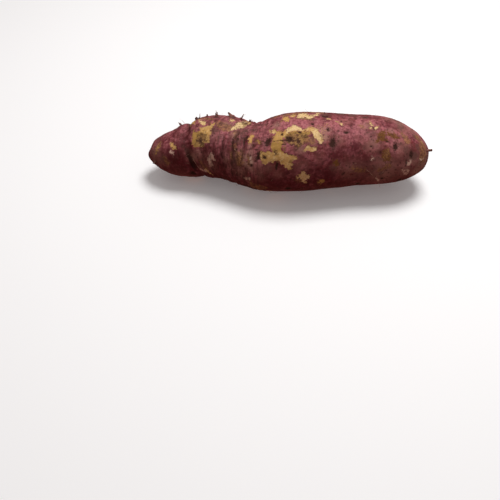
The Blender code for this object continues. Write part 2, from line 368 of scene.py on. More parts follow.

# %% [markdown]
# ## The scraped patches that we see
#
# A scraped patch is where the thin skin has been rubbed off, and it shows cork that is
# cream while fresh and ochre when it has dried. Large patches are drawn by their outline
# in the picture, and small ones by a stroke: two ends and a half width in millimetres.
# The first number of a patch is how fresh it is, from 0, old, to a little over 1. All of
# them were set one by one.

# %% Draw the scraped patches
Patch = namedtuple("Patch", "fresh outline")
SCRAPED_PATCHES = [
    Patch(1.3, [(228.5, 131.4), (232.5, 127.6), (235.5, 124.6), (239, 122.4), (242, 121.2),
                (245, 121.8), (247.4, 124.2), (245.6, 125.9), (242, 127.0), (237, 127.9),
                (233, 130)]),
    Patch(0.9, [(228.8, 120.8), (231, 119.4), (235, 119.6), (233.5, 121.2), (230, 121.6)]),
    Patch(0.8, [(246, 121.3), (250, 121.3), (251, 123), (247.5, 123.8)]),
    Patch(0.55, [(248.6, 135.4), (250, 133.6), (252.8, 133.8), (253.8, 136), (252.4, 139.5),
                 (252, 143.2), (249, 143.4), (249.3, 139)]),
    Patch(0.8, [(269, 130.4), (272, 131), (273.5, 129), (276.3, 130.6), (276.6, 133.4),
                (272.8, 134), (270.2, 132.6)]),
    Patch(1.0, [(283.8, 134), (286, 129.7), (288.5, 128), (291, 127.4), (293.3, 125.7),
                (296, 125.6), (298.8, 126.9), (301.3, 128.3), (304, 130.4), (303.6, 132),
                (299.5, 131.4), (296, 131.2), (292, 131.8), (289, 133.2), (286.3, 136.4),
                (284, 137.5)]),
    Patch(0.55, [(276, 132.6), (279, 130.2), (282.4, 131), (287, 129.5), (287.5, 133.5),
                 (283.4, 138.5), (282.6, 143.5), (271.4, 143.5), (273.3, 138), (274.2, 135)]),
    Patch(0.15, [(271.6, 142), (282.6, 142), (281.6, 146), (282, 153), (272.4, 153), (270.8, 147)]),
    Patch(0.7, [(259, 153), (262, 151.8), (265.5, 151.8), (269, 150.8), (271.5, 152.4),
                (276, 150), (281.5, 150.6), (284, 153.3), (288, 154.2), (292.7, 154.3),
                (295, 156.7), (297.2, 158.4), (293.3, 159.7), (292, 161.4), (292.4, 164),
                (291.6, 167), (290.7, 169.6), (288, 169.3), (285.2, 167.8), (284, 165.2),
                (282, 163.6), (280, 162), (276, 161.8), (272, 161.8), (268.5, 162.3),
                (265.5, 164.3), (262.7, 164), (262, 161.5), (260.2, 158.6), (258.9, 156)]),
    Patch(0.25, [(284, 137.5), (287, 133.5), (292, 131.2), (300, 131), (304.5, 131.4), (309, 131.2),
                 (311.5, 134), (306, 137), (300, 136), (295, 134.5), (290, 136), (286, 139.5)]),
    Patch(0.1, [(256.5, 141), (258, 140), (259.8, 141.5), (259.4, 143), (257, 143)]),
    Patch(0.7, [(305.6, 129.6), (308.5, 126.6), (311.7, 126.6), (314.5, 128.4), (316, 132.5),
                (312.5, 133.6), (310.8, 131.5), (306, 131.2)]),
    Patch(0.95, [(313, 128.5), (316.3, 129.3), (318.5, 131), (320, 134), (321.6, 137),
                 (323, 140.4), (322.3, 142.6), (320.5, 143.3), (318, 140.8), (316, 138),
                 (314, 135.5), (312, 132.6)]),
    Patch(0.8, [(303.8, 149.8), (304.7, 146.8), (307, 145.7), (309.7, 145.8), (311.7, 147.2),
                (314, 147.5), (316.4, 148), (316.6, 150.2), (314, 151), (311.5, 152),
                (309, 151.2), (306.5, 151), (304.3, 151.5)]),
    Patch(0.6, [(281.7, 120.8), (282.7, 117.8), (284.5, 116.6), (287.2, 116.6), (289.5, 118.8),
                (287.7, 121.2), (286, 122.2), (283.7, 121.6)]),
    Patch(0.7, [(290.4, 116.6), (292.3, 114.5), (295.4, 115.3), (293.8, 117.3)]),
    Patch(1.0, [(297.4, 116.7), (299.4, 114.8), (301, 114), (303.5, 112.9), (306, 113.8),
                (308, 114.8), (311, 115.4), (314, 115), (316.5, 113.8), (320, 113.5),
                (317, 115.3), (314, 116.8), (312.6, 118.1), (309.5, 118.7), (306, 117.7),
                (302.5, 118.4), (299, 118.5)]),
    Patch(0.95, [(303.5, 171.2), (305.7, 172.8), (307.2, 174.2), (309.6, 176), (309.3, 178.3),
                (306.8, 179.4), (306, 181.3), (305.2, 183.2), (302.8, 182.6), (301.3, 180.3),
                (299.7, 178.8), (297.6, 177.5), (298, 175.3), (300.8, 174.2), (301.7, 172.7)]),
    Patch(0.3, [(316.8, 182.6), (318.3, 180.5), (321, 179.7), (324.4, 180), (323.8, 182.3),
                (321, 183.7), (317.7, 184.1)]),
    Patch(0.15, [(191.6, 134), (194, 131.4), (197.5, 131.3), (199.5, 130), (203, 134),
                (205, 143.4), (203.4, 145.8), (201, 147.2), (196.8, 147), (192.6, 144.8),
                (191.5, 140)]),
    Patch(0.65, [(199, 131.5), (199.8, 128), (203.5, 126.5), (208, 126.4), (211.2, 124.4),
                 (214, 122.4), (214.6, 124.2), (211.4, 128.2), (211, 132), (209.4, 137.4),
                 (208.6, 141.4), (205.6, 144), (203, 140), (202, 134)]),
    Patch(0.95, [(199, 119.6), (202, 120.4), (205.5, 122), (205, 124.6), (202.5, 125.9),
                 (200.5, 124), (199, 122)]),
    Patch(0.6, [(191.8, 127), (193, 123.5), (195.8, 120), (196.4, 121.5), (194.8, 125)]),
    Patch(0.65, [(170.8, 143.5), (173, 142.7), (174.9, 145), (176.3, 148.6), (173.8, 148.9),
                 (171.5, 146)]),
    Patch(0.5, [(155.7, 154), (156, 149), (157.3, 145.5), (159, 146), (158.2, 150), (157.3, 154)]),
]
print("scraped patches in view:", len(SCRAPED_PATCHES))

# %% Draw the small scrapes
Stroke = namedtuple("Stroke", "column row to_column to_row half_width")
SMALL_SCRAPE_FRESH = 0.9


def each(kind, rows):
    """Every row of numbers as one thing of that kind, so that its parts have names."""
    return [kind(*row) for row in rows]


SMALL_SCRAPES = each(Stroke, [
    (336.3, 121.3, 337.8, 121.5, 0.9), (341, 123.3, 341.7, 124.3, 1.2),
    (370, 121.5, 372.3, 126, 0.7), (375.3, 128, 378, 127.3, 1.2), (371, 127.5, 372.5, 129, 0.5),
    (421.5, 141, 422.2, 142, 0.6), (420, 159, 423, 158.6, 0.7), (206, 170, 212, 174.6, 0.6),
    (327.5, 118.6, 330.5, 118.8, 0.7),
])
print("small scrapes in view:", len(SMALL_SCRAPES))

# %% [markdown]
# ## Scars, stains and scurf
#
# A corky scar is an old wound: brown, rough and dull. A stain is an olive shade in the
# skin with a torn edge. Scurf is a shallow tan crust on it. A pale scar is thin and
# chalky. They are drawn in the same two ways as the scrapes.

# %% List the scars and stains
SCAR_PATCHES = [
    [(284.5, 138), (287, 135.2), (291, 134.6), (295, 133), (300, 133.6), (305, 133.4), (308.5, 134.2),
     (308, 137), (305.5, 139), (304.5, 142), (302.5, 145.5), (299, 147.3), (294, 145.2),
     (290, 143.7), (286.3, 142.2), (283.3, 140.5)],
    [(198, 133.2), (202, 132.6), (206.5, 134), (207.6, 138), (206.4, 142), (204.4, 144.6),
     (202, 147), (198, 146.2), (195.6, 144), (196.8, 140), (197, 136)],
]
SCAR_STROKES = each(Stroke, [
    (242.8, 122.3, 245.5, 123.8, 1.1), (274.5, 151, 275.5, 153, 0.7),
    (299, 118.6, 307, 118.9, 0.6), (310, 119.5, 312, 119.5, 0.6), (290.5, 162.5, 291, 161.5, 0.6),
])
STAIN_PATCHES = [
    [(378, 134), (380, 131.8), (383.5, 131.2), (384.8, 134), (384.2, 137.6), (386.5, 139.6),
     (389.4, 141.4), (386.6, 142.9), (383.5, 140.7), (380.5, 140.2), (377.5, 142.7),
     (375, 142.2), (378, 138)],
    [(384.5, 133.2), (390, 132.4), (395.6, 134), (399, 138.6), (395, 138.4), (391, 136.3),
     (386, 135.8)],
    [(383.6, 151), (387, 149), (390, 153), (389.6, 160.6), (384, 160.6), (382.8, 156)],
    [(334.5, 161), (337.5, 160), (338.5, 164), (336.5, 167), (334, 166)],
]
print("scars and stains in view:", len(SCAR_PATCHES + SCAR_STROKES + STAIN_PATCHES))

# %% List the scurf and the pale scars
SCURF_STROKES = each(Stroke, [
    (220, 124, 228, 128, 3.8), (199, 118.8, 212, 118.4, 1.4), (160, 143.5, 157, 150, 2.0),
    (165, 159, 167, 163, 2.0), (199.5, 161, 208, 171.5, 0.9), (203, 166, 206, 168, 1.5),
    (250, 181, 255, 187, 1.3), (256.5, 140.5, 259.5, 143.5, 1.2), (275, 118.5, 279, 115.8, 1.2),
    (235, 149, 236, 152, 0.8), (238, 153, 239, 165, 1.8), (241, 150, 242, 162, 1.3),
    (231, 152, 232, 158, 1.2), (234, 145, 236, 151, 1.3), (247.6, 155, 248.6, 164, 1.1),
    (234.5, 132.5, 235.5, 137, 1.2), (387.5, 151, 386, 158, 1.2), (418, 138, 423, 145, 3.4),
    (422.5, 146, 423, 158, 3.8), (403, 135, 408, 141, 2.4), (360, 125, 363, 127.5, 1.2),
    (353, 168.5, 364, 170.5, 1.6), (379, 170, 389, 166, 1.3), (288, 114.2, 303, 112.8, 2.4),
    (303, 112.8, 322, 113.0, 1.6), (296, 180.5, 300, 180, 1.2), (304, 138, 312, 141, 2.8),
    (284, 142, 284.5, 150, 0.8),
])
PALE_STROKES = each(Stroke, [
    (170, 152, 173.5, 153, 0.75), (212.0, 154.5, 213, 159.5, 1.4), (210.0, 160, 210.6, 165.5, 1.6),
    (190.8, 157, 196, 165, 0.8), (197, 166.5, 206, 171.5, 0.8), (406.5, 163, 409, 164, 1.2),
    (410.4, 161, 410.8, 162, 0.7), (402, 170, 404, 171, 0.8), (407.4, 169, 408, 171.4, 0.9),
    (405, 173, 407, 173.5, 0.8), (245, 178, 249, 179, 0.8), (250.5, 157, 251, 163, 0.6),
    (371.5, 159.5, 373, 157.5, 0.7), (376, 177.5, 378.5, 180, 0.6), (419.5, 160, 424, 158, 0.8),
])
print("strokes of scurf and of pale scars:", len(SCURF_STROKES), "and", len(PALE_STROKES))

# %% [markdown]
# ## Tints without an edge
#
# The skin's own colour drifts from place to place: browner where soil has rubbed in,
# pinker where the skin is thin, darker where it is thick and clean, and grey-pink where
# dust lies on it. Some spots paint light and shade instead: dark spots in the crease
# between the two lobes and under the left lobe are painted shade, and flushed and dusty
# spots on a ridge of the neck are painted light. A drift has no edge, so it is given as
# soft spots: a place in the picture, a radius in millimetres and a strength. Spots that
# overlap don't add up, the strongest one counts, so that a large weak one can hold a
# small strong one.

# %% List the soiled spots, and the flushed spots with painted light
Spot = namedtuple("Spot", "column row radius strength")
SOILED = each(Spot, [
    (236, 142, 5, 0.9), (234, 150, 5, 0.8), (244, 137, 4, 0.8), (238, 133, 4, 0.2),
    (152, 150, 5, 0.7), (178, 130, 4, 0.5), (170, 158, 6, 0.8), (183, 128, 4, 0.6),
    (192, 155, 4, 0.4), (247, 130, 4, 0.6), (254, 128, 4, 0.5), (340, 114, 6, 1.2),
    (352, 115, 6, 1.1), (365, 116.5, 5, 1.0), (376, 117.5, 5, 0.6), (300, 112.5, 5, 0.8),
    (313, 112.5, 5, 0.8), (285, 114, 5, 0.8), (400, 125, 5, 0.7), (175, 133, 6, 0.5),
    (196, 118, 5, 0.7), (262, 122, 5, 0.7), (160, 139, 6, 0.6), (389, 121, 5, 0.6),
    (328, 114.5, 5, 1.0), (276, 117, 4, 0.6), (256, 123, 5, 0.6), (217, 117.5, 5, 0.6),
    (190, 124, 4, 0.6), (233, 150, 6, 0.7), (238, 160, 7, 1.0), (243, 152, 5, 0.7),
    (225, 156, 5, 0.4), (260, 174, 7, 0.5), (156, 152, 7, 0.8),
    (163, 159, 6, 0.7), (168, 152, 5, 0.7), (360, 169, 9, 0.8), (378, 170, 8, 0.9),
    (336, 166, 6, 0.6), (366, 152, 5, 0.4), (395, 158, 7, 0.3), (409, 156, 6, 1.0),
    (415, 164, 8, 0.5), (404, 173, 8, 0.6), (419, 150, 6, 0.6), (388, 178, 7, 0.5),
    (300, 142, 7, 0.3), (203, 170, 5, 0.3), (373, 142, 6, 0.3), (381, 137, 6, 0.4),
    (422, 164, 7, 0.5), (426, 156, 4, 0.4), (383, 168, 6, 0.7), (202, 160, 4, 0.8),
    (216, 131, 3.5, 0.7), (192, 126, 3, 0.8), (160, 160, 5, 0.6), (410, 153, 3, 1.3),
    (414, 156, 4, 1.3), (174, 146, 4, 0.5), (397, 121, 5, 0.9),
    (413, 132, 4, 0.5), (178, 129, 4, 0.7), (384, 136, 3, 0.8), (372, 139, 4, 0.5),
    (386, 156, 4, 0.3), (417, 167, 3.5, 0.8), (360, 115, 3, 0.8),
    (367, 117, 3, 0.9), (421, 165, 6, 0.5), (275, 121, 3, 0.8), (190.5, 125, 3, 1.2),
    (248, 124, 3, 0.8), (313, 119, 3, 0.9), (253, 131, 3, 0.9), (217, 137, 3, 0.7),
    (370, 133, 5, 0.7), (325, 119, 3, 0.9), (265, 131, 3, 0.8), (415, 137, 3, 0.9),
])
# Flushed spots: pinker skin; those near columns 248 to 262, rows 147 to 172, are painted light on a
# ridge of the neck.
FLUSHED_AND_PAINTED_LIGHT = each(Spot, [
    (250, 147, 3, 1.0), (250.5, 154, 3.5, 1.4), (250.5, 162, 3.5, 1.4), (251, 170, 4, 1.0),
    (393, 142, 5, 1.5), (408, 145, 4, 0.9), (376, 140, 4, 0.6), (400, 133, 5, 0.5),
    (255, 155, 4, 1.3), (257, 167, 6, 1.6), (254, 172, 5, 1.0), (262, 160, 4, 0.8),
    (330, 123, 6, 1.0), (322, 134, 5, 0.8), (344, 125, 6, 0.5), (357, 128, 6, 0.9),
    (363, 133, 6, 0.6), (302, 122, 6, 0.5), (284, 124, 4, 0.6), (274, 125, 3.5, 0.9),
    (388, 137, 3, 1.0), (395, 143, 6, 0.5), (376, 146, 4, 0.6), (366, 122, 5, 0.6),
    (292, 148, 5, 0.4), (248, 160, 4, 0.9), (250, 168, 5, 0.7),
    (226, 136, 6, 0.5), (235, 133, 4, 0.6), (172, 132, 4, 0.7), (182, 132, 4, 0.5),
    (198, 153, 4, 0.6), (408, 163, 2.5, 0.7), (335, 136, 5, 0.3), (420, 138, 5, 0.3),
    (262, 132, 5, 0.4), (343, 164, 4, 0.3), (226, 160, 3, 1.1), (222, 153, 3, 0.5),
    (207, 151, 3, 0.4), (228, 170, 3, 0.7), (340, 140, 3.5, 1.3), (325, 135, 5, 0.9),
    (276, 125, 3, 1.2), (332, 138, 3, 0.8), (223, 137, 3, 0.9), (349, 131, 3, 0.9),
])
print("soiled and flushed spots:", len(SOILED), "and", len(FLUSHED_AND_PAINTED_LIGHT))

# %% List the dark spots with painted shade, the dusty spots with painted light, and the flecked spots
# Dark spots: dark clean skin; those in columns 162 to 192 are painted shade in the crease between the
# lobes and under the left lobe.
DARK_SKIN_AND_PAINTED_SHADE = each(Spot, [
    (316, 152, 9, 0.5), (336, 154, 9, 1.2), (354, 151, 8, 1.1), (366, 159, 8, 1.0),
    (352, 160, 8, 1.1), (301, 157, 8, 0.7), (285, 174, 11, 0.4), (312, 168, 9, 0.1),
    (341, 162, 8, 0.9), (214, 149, 8, 0.8), (224, 160, 7, 0.2), (216, 168, 7, 0.7),
    (181, 160, 8, 0.8), (170, 166, 8, 0.7), (380.3, 152.3, 2.6, 1.8),
    (240, 172, 6, 0.1), (228, 145, 5, 0.5), (255, 180, 8, 0.3), (330, 178, 9, 0.5),
    (391, 152, 4, 0.4), (176, 138, 7, 0.7), (186, 134, 6, 0.8), (164, 144, 6, 0.6),
    (390, 125, 7, 0.6), (410, 133, 6, 0.4), (352, 124, 4, 0.6), (184, 142, 5, 0.9),
    (185, 149, 5, 1.2), (187, 156, 6, 1.3), (180, 168, 9, 1.0), (192, 166, 6, 1.2),
    (177, 154, 6, 1.1), (182, 138, 4, 1.1), (172, 160, 8, 1.0), (162, 154, 5, 0.6),
    (186, 135, 4, 1.0), (338, 140, 6, 0.4), (220, 140, 5, 0.4), (330, 114, 6, 0.5),
    (183, 145, 5, 1.7), (186.5, 150, 4, 1.8), (184, 137, 4, 1.4), (218, 155, 5, 1.1),
    (228, 150, 3.5, 1.4), (181, 152, 6, 1.4), (178, 143, 4, 1.0), (179, 136, 4, 0.9),
    (176, 150, 5, 1.2), (177, 131, 4, 0.8), (168, 151, 4, 0.8), (170, 156, 5, 0.9),
    (345, 133, 2, 0.6), (204, 150, 5, 1.3), (220, 165, 3, 1.4), (213, 163, 3, 1.0),
    (225, 142, 3, 0.6), (270, 127, 3, 0.6), (322, 161, 5, 0.9),
    (181, 143, 3, 1.3), (247, 143, 3, 1.0),
])
# Dusty spots: dust; those near column 250, rows 146 to 168, are painted light on a ridge of the neck.
DUSTY_AND_PAINTED_LIGHT = each(Spot, [
    (404, 170, 8, 0.6), (414, 162, 8, 0.5), (396, 162, 6, 0.3), (238, 158, 6, 0.4),
    (250, 146, 2.6, 0.6), (250.5, 153, 3, 0.9), (250.5, 160, 3.4, 1.3), (251, 168, 4, 0.9),
    (258, 176, 5, 0.4), (226, 155, 4, 0.2), (190, 153, 4, 0.3), (203, 168, 5, 0.4),
    (360, 170, 8, 0.35), (420, 158, 6, 0.4), (155, 155, 6, 0.6),
    (246, 177, 5, 0.3), (233, 165, 4, 0.4), (216, 136, 5, 0.2), (236, 130, 5, 0.3),
    (422, 164, 6, 1.5), (425.5, 157, 5, 1.6), (417, 171, 6, 1.2), (412, 130, 7, 0.5),
    (424, 145, 5, 0.6), (404, 130, 6, 0.3), (235, 134.5, 3, 1.0), (389, 119, 6, 0.4),
    (350, 171, 8, 0.5), (340, 168, 6, 0.3), (240, 172, 5, 0.7), (232, 168, 5, 0.4),
    (400, 150, 8, 0.4), (160, 160, 5, 0.5), (210, 166, 6, 0.5), (202, 161, 4, 0.4),
    (165, 164, 4, 0.25), (300, 166, 7, 0.3), (346, 158, 5, 0.1),
    (226, 160, 3, 0.6), (198, 155, 4, 0.6), (205, 157, 4, 0.3),
    (345, 121, 5, 0.25), (318, 158, 5, 0.2), (424, 166, 3, 1.2), (157, 149, 3, 0.9),
    (400, 124, 4, 0.9), (226, 124, 3, 0.7), (260, 167, 5, 0.4), (247, 162, 6, 1.3),
    (268, 168, 5, 0.45), (259, 173, 4, 0.5), (277, 173, 5, 0.35), (384, 172, 12, 0.8),
    (397, 178, 5, 0.3), (325, 131, 5, 0.6), (325, 137, 4, 0.9), (301, 149, 4, 0.7),
    (277, 125, 3, 0.9), (373, 145, 6, 0.6), (193, 157, 4, 1.0), (336, 140, 5, 0.4),
    (367, 125, 4, 0.5), (313, 143, 3, 0.5), (229, 125, 3, 0.8), (391, 131, 3, 0.6),
])
FLECKED = each(Spot, [
    (321, 129, 4.5, 1.0), (327, 125, 3.5, 0.6), (323, 137, 3.0, 0.6), (406, 142, 4.0, 0.5),
])
print("dark, dusty and flecked spots:", len(DARK_SKIN_AND_PAINTED_SHADE), len(DUSTY_AND_PAINTED_LIGHT), len(FLECKED))

# %% [markdown]
# ## From marks to numbers
#
# Each kind of mark becomes one number at every point of the skin: how many millimetres
# the point lies inside the mark's edge, or below zero outside it. Such a number can be
# torn by adding noise to it, and a material can start a colour at any depth. A soft spot
# becomes a strength that dies out with distance.

# %% Make the tools that turn marks into fields
OUTSIDE = -3.0
FACING_EDGE = 0.04
NOISE_SHIFTS = (11.3, 5.7, -7.9)
SHORTEST = 1e-9


def noise_over(points, size, seed):
    """Smooth noise from -1 to 1 over the points, with lumps of about that size."""
    shift = Vector([seed * step for step in NOISE_SHIFTS])
    return np.array([noise.noise(Vector(p) / size + shift) for p in points])


def stroke_field(start, end, half_width):
    """Millimetres inside the edge of a stroke between two points of the skin."""
    along = np.array(end - start)
    share = ((POINTS - np.array(start)) @ along) / max(along @ along, SHORTEST)
    nearest = np.array(start) + np.clip(share, 0.0, 1.0)[:, None] * along
    return np.maximum(half_width - np.linalg.norm(POINTS - nearest, axis=1), OUTSIDE)


def seen_stroke(stroke):
    """Millimetres inside the edge of a stroke that is given by two places of the picture."""
    start = seen_at(stroke.column, stroke.row)
    return stroke_field(start, seen_at(stroke.to_column, stroke.to_row), stroke.half_width)


def seen_outline(outline):
    """Millimetres inside an outline of the picture, for the points that face the camera."""
    inside = np.zeros(len(POINTS), bool)
    nearest = np.full(len(POINTS), np.inf)
    columns, rows = PICTURE_PLACES.T
    corners = np.array(outline, float)
    for start, end in zip(corners, np.roll(corners, -1, axis=0)):
        side = end - start
        share = np.clip((PICTURE_PLACES - start) @ side / (side @ side), 0.0, 1.0)
        offsets = PICTURE_PLACES - start - share[:, None] * side
        nearest = np.minimum(nearest, np.linalg.norm(offsets, axis=1))
        if start[1] != end[1]:
            crossing = start[0] + (rows - start[1]) / side[1] * side[0]
            inside ^= ((start[1] > rows) != (end[1] > rows)) & (columns < crossing)
    field = np.where(inside, nearest, -nearest) * POINT_SIZE
    field = np.where(FACING > FACING_EDGE, field, OUTSIDE)
    return np.maximum(field, OUTSIDE)


def strongest(fields):
    """The largest of the fields at each point."""
    return np.maximum.reduce([np.full(len(POINTS), OUTSIDE), *fields])


def soft_spot(place, radius, strength):
    """A strength round one point of the skin, dying out with distance."""
    away = np.linalg.norm(POINTS - np.array(place), axis=1)
    return strength * np.exp(-((away / radius) ** 2))


def soft_spots(spots):
    """The strongest of the soft spots at each point."""
    field = np.zeros(len(POINTS))
    for spot in spots:
        place = seen_at(spot.column, spot.row)
        field = np.maximum(field, soft_spot(place, spot.radius, spot.strength))
    return field


print("outside a mark, its field goes down to", OUTSIDE, "mm and no further")


# %% Turn the marks in view into fields
scrapes = [(patch.fresh, seen_outline(patch.outline)) for patch in SCRAPED_PATCHES]
scrapes += [(SMALL_SCRAPE_FRESH, seen_stroke(stroke)) for stroke in SMALL_SCRAPES]
scar = strongest([*map(seen_outline, SCAR_PATCHES), *map(seen_stroke, SCAR_STROKES)])
stain = strongest(map(seen_outline, STAIN_PATCHES))
scurf = strongest(map(seen_stroke, SCURF_STROKES))
pale = strongest(map(seen_stroke, PALE_STROKES))
soiled, flush_and_painted_light, dark, dust_and_painted_light, flecked = map(
    soft_spots, (SOILED, FLUSHED_AND_PAINTED_LIGHT, DARK_SKIN_AND_PAINTED_SHADE, DUSTY_AND_PAINTED_LIGHT, FLECKED))
spots_in_view = np.maximum(flush_and_painted_light, dust_and_painted_light)
print("scraped patches and strokes:", len(scrapes))

# %% [markdown]
# ## The marks on the hidden sides
#
# The back and the underside get the same kinds of marks, thrown by a seeded draw. Each
# mark is a short walk of a few strokes, which gives the same broken outline as the
# patches in view. How many there are, how wide and how long their steps are, was chosen
# by what the visible side has.

# %% Throw marks over the hidden sides
HIDDEN_SEED = 23
HIDDEN_ANGLES = (125.0, 300.0)
HIDDEN_ALONG = (-96.0, 98.0)
DEGREES_PER_STEP = 2.0
FRESHNESSES = (0.3, 1.0)
Throw = namedtuple("Throw", "count half_widths step most_strokes")
THROWN_SCRAPES = Throw(17, (1.2, 3.4), 7.0, 4)
THROWN_SCARS = Throw(8, (1.0, 2.8), 4.0, 2)
THROWN_SCURF = Throw(22, (1.6, 3.6), 7.0, 3)
THROWN_STAINS = Throw(8, (1.4, 3.2), 5.0, 3)
THROWN_PALE = Throw(10, (0.8, 1.5), 4.0, 1)


def hidden_marks(throw, draw):
    """The fields of one throw of marks, each a walk of strokes over the hidden skin."""
    for _ in range(throw.count):
        field = np.full(len(POINTS), OUTSIDE)
        along, degrees = draw.uniform(*HIDDEN_ALONG), draw.uniform(*HIDDEN_ANGLES)
        place = grown_at(along, degrees)[0]
        for _ in range(draw.randint(1, throw.most_strokes)):
            along += draw.uniform(-throw.step, throw.step)
            along = min(max(along, HIDDEN_ALONG[0]), HIDDEN_ALONG[1])
            degrees += draw.uniform(-throw.step, throw.step) * DEGREES_PER_STEP
            after = grown_at(along, degrees)[0]
            stroke = stroke_field(place, after, draw.uniform(*throw.half_widths))
            field = np.maximum(field, stroke)
            place = after
        yield field


draw = random.Random(HIDDEN_SEED)
scrapes += [(draw.uniform(*FRESHNESSES), field) for field in hidden_marks(THROWN_SCRAPES, draw)]
scar = strongest([scar, *hidden_marks(THROWN_SCARS, draw)])
scurf = strongest([scurf, *hidden_marks(THROWN_SCURF, draw)])
stain = strongest([stain, *hidden_marks(THROWN_STAINS, draw)])
pale = strongest([pale, *hidden_marks(THROWN_PALE, draw)])
print("scraped patches with the hidden ones:", len(scrapes))

# %% [markdown]
# ## The tints of the hidden sides
#
# Soft spots are thrown over the hidden sides in the same way. Two more tints go over the
# whole root: painted light makes its upper side a little pinker, and painted shade makes
# its underside darker. Soil covers the painted light, and the flushed and dusty spots in
# view hold back the painted shade.

# %% Throw soft spots, paint light on the upper side and shade on the lower side
Sprinkle = namedtuple("Sprinkle", "count radii")
SOIL_SPRINKLE = Sprinkle(26, (5.0, 11.0))
FLUSH_SPRINKLE = Sprinkle(18, (4.0, 8.0))
DARK_SPRINKLE = Sprinkle(16, (6.0, 12.0))
DUST_SPRINKLE = Sprinkle(14, (4.0, 9.0))
SPRINKLE_STRENGTHS = (0.4, 1.0)
HIDDEN_DUST = 0.5
UPPER_PAINTED_LIGHT = 0.65
UPPER_SIDE = (0.45, 0.95)
PAINTED_LIGHT_UNDER_SOIL = 0.2
LOWER_PAINTED_SHADE = 0.8
LOWER_SIDE = (-0.78, -0.15)
SPOT_SHELTER = 0.9


def rise_to(values, low, high):
    """0 below low, 1 above high, and a smooth curve between them."""
    share = np.clip((values - low) / (high - low), 0.0, 1.0)
    return share * share * (3.0 - 2.0 * share)


def hidden_spots(sprinkle, draw):
    """The strongest at each point of some soft spots, thrown over the hidden skin."""
    field = np.zeros(len(POINTS))
    for _ in range(sprinkle.count):
        place = grown_at(draw.uniform(*HIDDEN_ALONG), draw.uniform(*HIDDEN_ANGLES))[0]
        strength, radius = draw.uniform(*SPRINKLE_STRENGTHS), draw.uniform(*sprinkle.radii)
        field = np.maximum(field, soft_spot(place, radius, strength))
    return field


soiled = np.maximum(soiled, hidden_spots(SOIL_SPRINKLE, draw))
flush_and_painted_light = np.maximum(flush_and_painted_light, hidden_spots(FLUSH_SPRINKLE, draw))
dark = np.maximum(dark, hidden_spots(DARK_SPRINKLE, draw))
dust_and_painted_light = np.maximum(dust_and_painted_light, hidden_spots(DUST_SPRINKLE, draw) * HIDDEN_DUST)
# Painted light: the upper side is made pinker, for the light and sheen on the top.
upper_painted_light = UPPER_PAINTED_LIGHT * rise_to(NORMALS[:, 2], *UPPER_SIDE)
flush_and_painted_light = np.maximum(flush_and_painted_light, upper_painted_light * np.clip(1.0 - soiled, PAINTED_LIGHT_UNDER_SOIL, 1.0))
# Painted shade: the underside is made darker.
lower_painted_shade = LOWER_PAINTED_SHADE * rise_to(-NORMALS[:, 2], *LOWER_SIDE)
dark = np.maximum(dark, lower_painted_shade * np.clip(1.0 - SPOT_SHELTER * spots_in_view, 0.0, 1.0))
print("points that are more than half soiled:", int((soiled > 0.5).sum()))

# %% [markdown]
# ## Join the scrapes and tear every edge
#
# Where two scraped patches meet, their freshness is mixed by how far inside each of them
# a point lies, so that cream runs into ochre with no line between them. Then noise of
# two sizes goes into every field that has an edge, which makes the edge bite in and out
# by a millimetre. The same noise serves all of them, because it is the same skin that
# tears.

# %% Mix the freshness and tear the edges
BLEND_DEPTH = 0.45
TORN_SIZES = (3.4, 1.5)
TORN_DEPTHS = (1.0, 0.7)
TORN_SEED = 10


def mixed_freshness():
    """The deepest scrape at each point, and the freshness there."""
    weights = [np.exp(field / BLEND_DEPTH) for _, field in scrapes]
    total = sum(weight * fresh for weight, (fresh, _) in zip(weights, scrapes))
    return strongest(field for _, field in scrapes), total / sum(weights)


TORN = sum(
    depth * noise_over(POINTS, size, TORN_SEED + size)
    for size, depth in zip(TORN_SIZES, TORN_DEPTHS))
scrape, fresh = mixed_freshness()
scrape, scar, scurf, stain, pale = (field + TORN for field in (scrape, scar, scurf, stain, pale))
print("points in scrapes, scars and scurf:", [int((f > 0).sum()) for f in (scrape, scar, scurf)])

# %% [markdown]
# ## Eyes
#
# An eye of a sweet potato is a shallow dark pit where a feeder root or a shoot could
# grow. It is longer round the root than along it. A stamp from a picture of an eye would
# be the same each time, so here every eye is a bell-shaped pit with its own width, length
# and depth, and the noise of the torn edges pushes its outline about. The eyes in view
# are pinned to the picture. The others stand in rows along the sides that face down and
# back, as eyes do.

